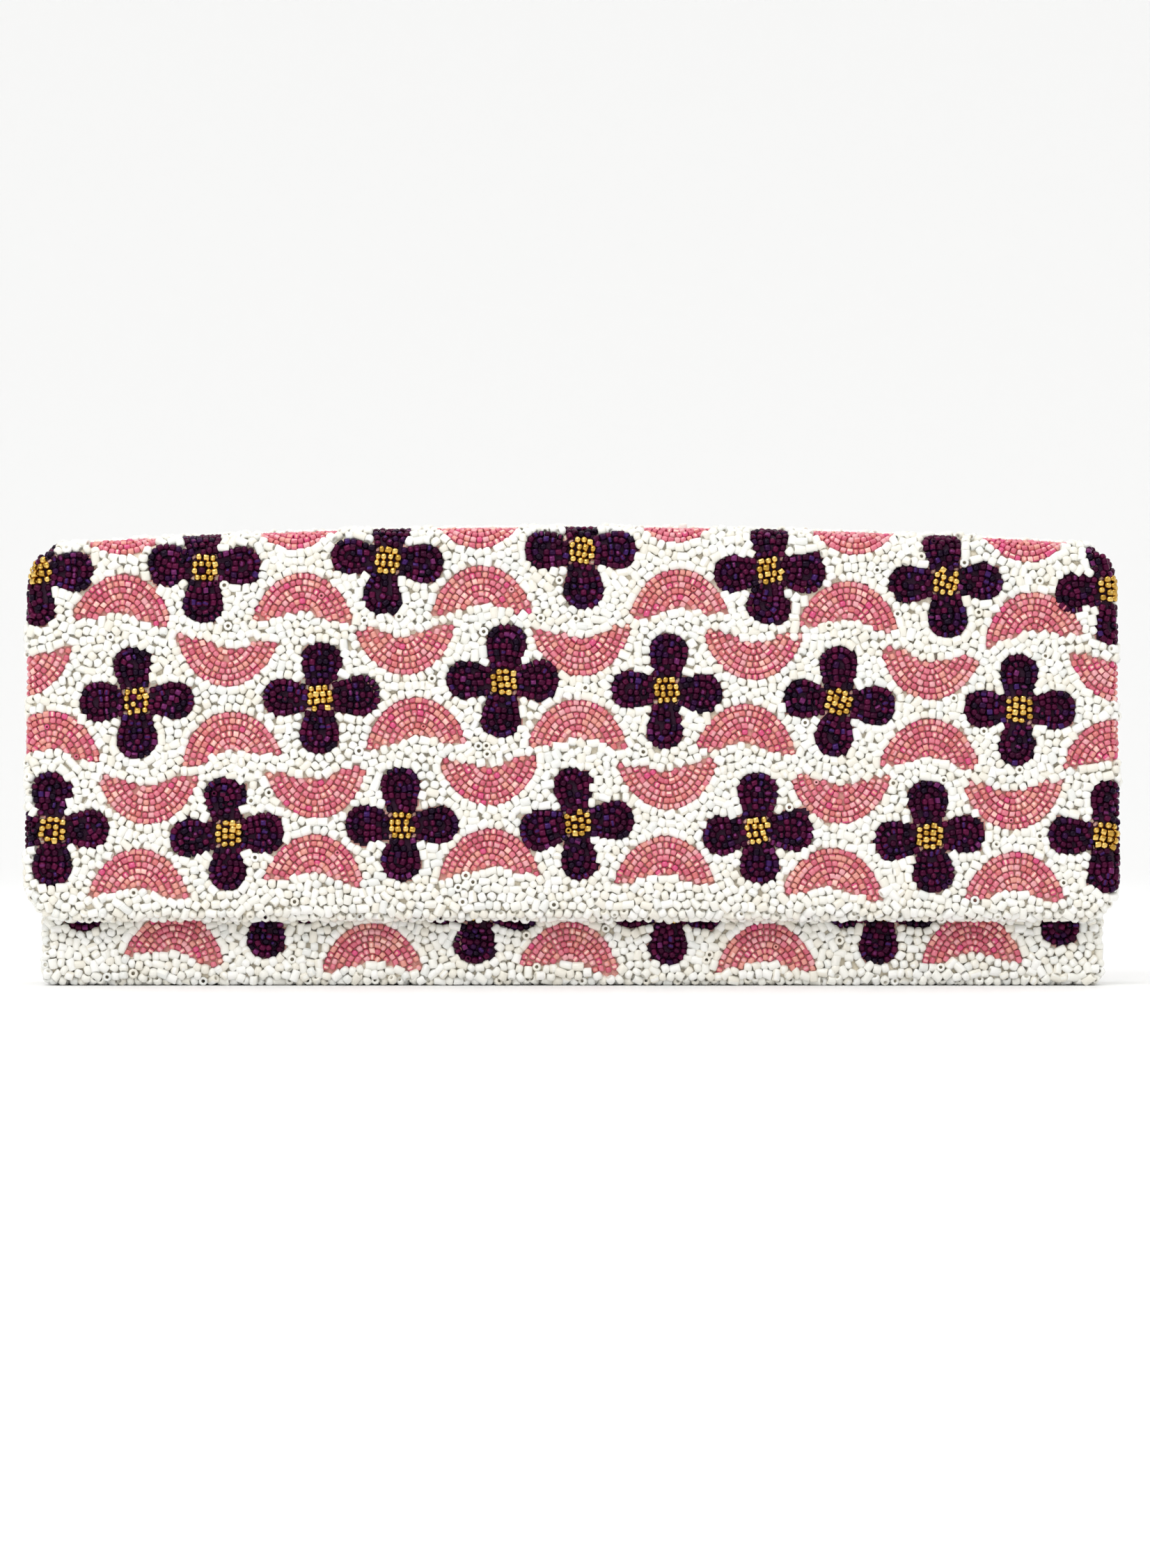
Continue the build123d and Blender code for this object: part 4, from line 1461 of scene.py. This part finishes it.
def lining_rows():
    """The lining's rows of points, from its floor's edge round the lower corner and up the walls."""
    x, y = lining_loop(HALFWAY, 0.0)
    facing = np.clip((y - wall_y(HALFWAY, -1)) / (wall_y(HALFWAY, 1) - wall_y(HALFWAY, -1)), 0, 1)
    back_top = BACK_TOP - CROWN * (x / HALF_FLAP) ** 2
    side_top = np.where(facing > BACK_FACING, back_top, GUSSET_TOP - UNDER_TOP)
    top = np.where(facing < FRONT_FACING, MOUTH - UNDER_TOP, side_top)
    rows = []
    for angle in np.linspace(0, math.pi / 2, 6):
        z = WALL + LINING_CORNER * (1 - math.cos(angle))
        rows.append(stack(*lining_loop(z, LINING_CORNER * (1 - math.sin(angle))), z))
    for share in np.linspace(0, 1, 90)[1:]:
        z = WALL + LINING_CORNER + share * (top - WALL - LINING_CORNER)
        mean = float(z.mean())
        x, y = lining_loop(mean, 0.0)
        lean = LEAN * (z - mean) * np.where(facing < 0.5, 1, -1)
        rows.append(stack(x, y + lean * np.clip(np.abs(facing - 0.5) * 2, 0, 1), z))
    return np.array(rows), top


bagged, top = lining_rows()
x, y, z = bagged.transpose(2, 0, 1)
slack = 0.36 * (1 + np.sin(x * 0.31 + z * 0.06) * np.sin(z * 0.13 + x * 0.05))
slack += 0.2 * (1 + np.sin(x * 0.83 + 0.9 * np.sin(z * 0.11)))
slack *= np.clip((z - 8) / 20, 0, 1) * np.clip((top - z) / 6, 0, 1)
slack_x = slack * (np.abs(x) > LINING_HALF - 2)
bagged = stack(x - np.sign(x) * slack_x, y - np.sign(y - CENTRE_Y) * slack, z)
numbers = numbered(*bagged.shape[:2])
ends = (LONG, LONG + SHORT, 2 * LONG + SHORT)
front_line, right_side, back_line, left_side = np.split(numbers[0], ends)
points = bagged.reshape(-1, 3)
share = np.linspace(0, 1, SHORT + 2)[1:-1, None, None]
middle = points[front_line] * (1 - share) + points[back_line[::-1]] * share
inner = numbered(SHORT, LONG, first=len(points))
inner[:, 0], inner[:, -1] = left_side[::-1], right_side
points = np.concatenate([points, middle.reshape(-1, 3)])
lining_floor = quads_over(np.concatenate([front_line[None], inner, back_line[None, ::-1]]), flip=True)
faces = np.concatenate([quads_over(closed(numbers), flip=True), lining_floor])
x, y, z = points.T
body_satin = add_cloth("body_satin_sheet", points, faces, satin, x + y * 0.5, z + y)
put(body_satin, on_bag, "lining_satin", "lining")

# The slip pocket on the back lining.
POCKET_OFF, POCKET_PLY = 0.75, 0.9  # off the wall at its edges, and inside its CAD box's front
HEM_BEHIND = 0.45
(_, pocket_front, pocket_floor), (pocket_half, _, pocket_top) = cad_box("slip_pocket")
px = np.linspace(-pocket_half, pocket_half, 90)
px, pz = np.meshgrid(px, np.linspace(pocket_floor, pocket_top, 60))
q = np.abs(px) / pocket_half
r = (pocket_top - pz) / (pocket_top - pocket_floor)
bulge = np.clip(1 - q**5, 0, 1) ** 0.6 * np.clip(1 - r**6, 0, 1) ** 0.6
against = wall_y(pz, 1) - POCKET_OFF
py = against - bulge * (against - pocket_front - POCKET_PLY) + 0.12 * np.sin(px * 0.35) * bulge
hem = stack(px[-1:], py[-1:] + HEM_BEHIND, pz[-1:] - np.array([[0.1], [4.0], [8.0]]))
pocket_points = np.concatenate([stack(px, py, pz), hem])
x, _, z = pocket_points.transpose(2, 0, 1)
pocket = add_cloth("pocket_satin_sheet", pocket_points, quads_over(numbered(*x.shape)), satin, x, z)
put(pocket, on_bag, "lining_satin", "slip_pocket")

# -------------------- wadding, one thin closed pad


def ring_of(grid):
    """A grid's outer points, all the way round."""
    return np.concatenate([grid[:, 0], grid[-1, 1:], grid[-2::-1, -1], grid[0, -2:0:-1]])


PAD_OVER, PAD_CLEAR = 0.4, 0.12  # past the start of the cloth's roll, and off the layers on each side
x, s = flap_grid(FLAP_INSET - PAD_OVER, 90, 220)
rise = 0.08 * np.sin(x * 0.21) * np.sin(s * 0.17) + rng.normal(0, 0.02, x.shape)
outer, _ = strip_region.lay(x, s, SEAT - BEADS - CLOTH - PAD_CLEAR + rise)
inner, _ = strip_region.lay(x, s, SEAT - BEADS - CLOTH - PAD + PAD_CLEAR - rise)
rings = np.array([ring_of(outer), ring_of((outer + inner) / 2), ring_of(inner)])
points = np.concatenate([part.reshape(-1, 3) for part in (outer, inner, rings)])
faces = [
    quads_over(numbered(*x.shape)),
    quads_over(numbered(*x.shape, first=x.size), flip=True),
    quads_over(closed(numbered(*rings.shape[:2], first=2 * x.size)), flip=True),
]
flat_a, flat_b = (np.concatenate([part.ravel()] * 2 + [ring_of(part)] * 3) for part in (x, s))
pad = add_cloth("wadding_pad", points, np.concatenate(faces), wadding, flat_a, flat_b)
weld = pad.modifiers.new("weld", "WELD")
weld.merge_threshold = 0.01 * MM
put(pad, on_flap_crease, "wadding", "flap_padding", "spine_padding")

# -------------------- stitches: thread lying on the linings

STITCH, STITCH_GAP, THREAD = 2.3, 1.1, 0.24
SEAM_END = 1.5  # no stitch nearer than this to a seam's end
TOWARDS = 0.4


def seam(name, path, normal, place):
    """Short threads along a line in space."""
    run = np.concatenate([[0], np.cumsum(np.linalg.norm(np.diff(path, axis=0), axis=1))])
    at = np.arange(SEAM_END, run[-1] - SEAM_END, STITCH + STITCH_GAP)
    here, ahead = (
        np.stack([np.interp(where, run, line) for line in path.T], axis=1) for where in (at, at + TOWARDS)
    )
    along = ahead - here
    along = along / np.linalg.norm(along, axis=1, keepdims=True)
    n = len(here)
    size = np.full(n, STITCH / 2), np.full(n, THREAD), np.zeros(n, bool)
    points = bead_points(here, along, np.tile(normal, (n, 1)), *size)
    put(add_mesh(name, points, bead_faces(n), [thread]), place, "lining_satin")


BACKWARDS, FORWARDS = (0.0, 1.0, 0.0), (0.0, -1.0, 0.0)
x, s = flap_grid(FLAP_INSET + 1.2, 120, 240, high=lambda x: middle_at(x) - CREASE_ZONE)
x, s = border(x), border(s)
path, _ = strip_region.lay(x, s, lining_lift(x, s) - 0.3)
seam("flap_seam_thread", path, BACKWARDS, on_flap)

x = np.linspace(-LINING_HALF + 4, LINING_HALF - 4, 60)
seam("mouth_seam_thread", stack(x, wall_y(MOUTH - 4, -1) + 0.9, MOUTH - 4), BACKWARDS, on_bag)

edge, bottom, curl = pocket_half - 1.4, pocket_floor + 1.4, 5
turn = np.linspace(0, math.pi / 2, 8)
x = np.concatenate([[-edge, -edge], -edge + curl - curl * np.cos(turn)])
z = np.concatenate([[pocket_top - 1.0, bottom + curl], bottom + curl - curl * np.sin(turn)])
x, z = np.concatenate([x, -x[::-1]]), np.concatenate([z, z[::-1]])
seam("pocket_seam_thread", stack(x, wall_y(z, 1) - 1.35, z), FORWARDS, on_bag)
hem_at = int(np.argmin(np.abs(pz[:, 0] - (pocket_top - 6))))
seam("pocket_hem_thread", pocket_points[hem_at, 3:-3] - np.array([0, 0.2, 0]), FORWARDS, on_bag)

# -------------------- finishes of the kept CAD parts

card = solid_finish("grey_card", (0.36, 0.33, 0.28), (0.55, 0.51, 0.44), 0.8, 0.0, 900, (1, 1, 4), 0.4)
gilt = solid_finish("gilt_brass", (0.62, 0.42, 0.15), (0.80, 0.60, 0.27), 0.24, 1.0, 700, (1, 6, 1), 0.05)
steel = solid_finish(
    "nickelled_steel", (0.50, 0.49, 0.47), (0.68, 0.67, 0.64), 0.3, 1.0, 700, (6, 1, 1), 0.06
)
ferrite = solid_finish("ferrite", (0.035, 0.034, 0.036), (0.085, 0.083, 0.085), 0.5, 0.2, 1500, relief=0.2)
FINISHES = {
    card: ("front_stiffener", "back_stiffener", "base_board", "flap_stiffener"),
    gilt: ("socket_cover", "snap_stud"),
    steel: ("socket_plate", "socket_washer", "stud_washer"),
    ferrite: ("snap_magnet",),
}
for finish, names in FINISHES.items():
    for name in names:
        node = frame["nodes"][name]
        node.data.materials.clear()
        node.data.materials.append(finish)

# -------------------- floor, light and camera

FLOOR_HALF, COVE, WALL_TOP = 1500.0, 1700.0, 2000.0
turn = np.linspace(0, math.pi / 2, 24)
reach = np.concatenate([[0.1, FLOOR_HALF / 2], FLOOR_HALF + COVE * np.sin(turn), [FLOOR_HALF + COVE]])
height = np.concatenate([[0, 0], COVE - COVE * np.cos(turn), [WALL_TOP]]) + FLOOR
reach, height = reach[:, None], height[:, None]
around = np.linspace(0, 2 * math.pi, 97)
bowl = stack(reach * np.cos(around), reach * np.sin(around), height)
floor = add_mesh("studio_bowl", bowl, quads_over(numbered(*bowl.shape[:2])), [paper_finish()])

world = bpy.data.worlds.new("studio")
bpy.context.scene.world = world
world.use_nodes = True
world.node_tree.nodes["Background"].inputs["Color"].default_value = (1.0, 1.0, 0.99, 1)
world.node_tree.nodes["Background"].inputs["Strength"].default_value = 0.885


def softbox(name, place, aim, width, height, power):
    light = bpy.data.lights.new(name, "AREA")
    light.shape = "RECTANGLE"
    light.size, light.size_y = width, height
    light.energy = power
    lamp = bpy.data.objects.new(name, light)
    bpy.context.scene.collection.objects.link(lamp)
    lamp.location = place
    lamp.rotation_euler = (Vector(aim) - Vector(place)).to_track_quat("-Z", "Y").to_euler()


softbox("key", (-0.35, -0.75, 0.95), (0, 0, 0.06), 0.7, 0.5, 4.85)
softbox("top", (0.1, 0.1, 1.2), (0, 0, 0.06), 1.2, 0.9, 2.5)
softbox("backdrop", (0, 0.5, 1.9), (0, 2.4, 0.5), 2.4, 0.8, 8.5)

VIEW_HEIGHT = 0.4146  # m from the picture's top to its bottom, at the flap's face
DISTANCE, SENSOR = 1.3, 36
camera = bpy.data.cameras.new("camera")
camera.sensor_width = SENSOR
camera.lens = SENSOR * DISTANCE / VIEW_HEIGHT
eye = bpy.data.objects.new("camera", camera)
bpy.context.scene.collection.objects.link(eye)
face_y = (CENTRE_Y - REACH_FLAP + LEAN * HALFWAY) * MM
eye.location = (0.0007, face_y - DISTANCE, 0.0533)
eye.rotation_euler = (math.pi / 2, 0, 0)
bpy.context.scene.camera = eye
bpy.context.scene.view_settings.view_transform = "Standard"
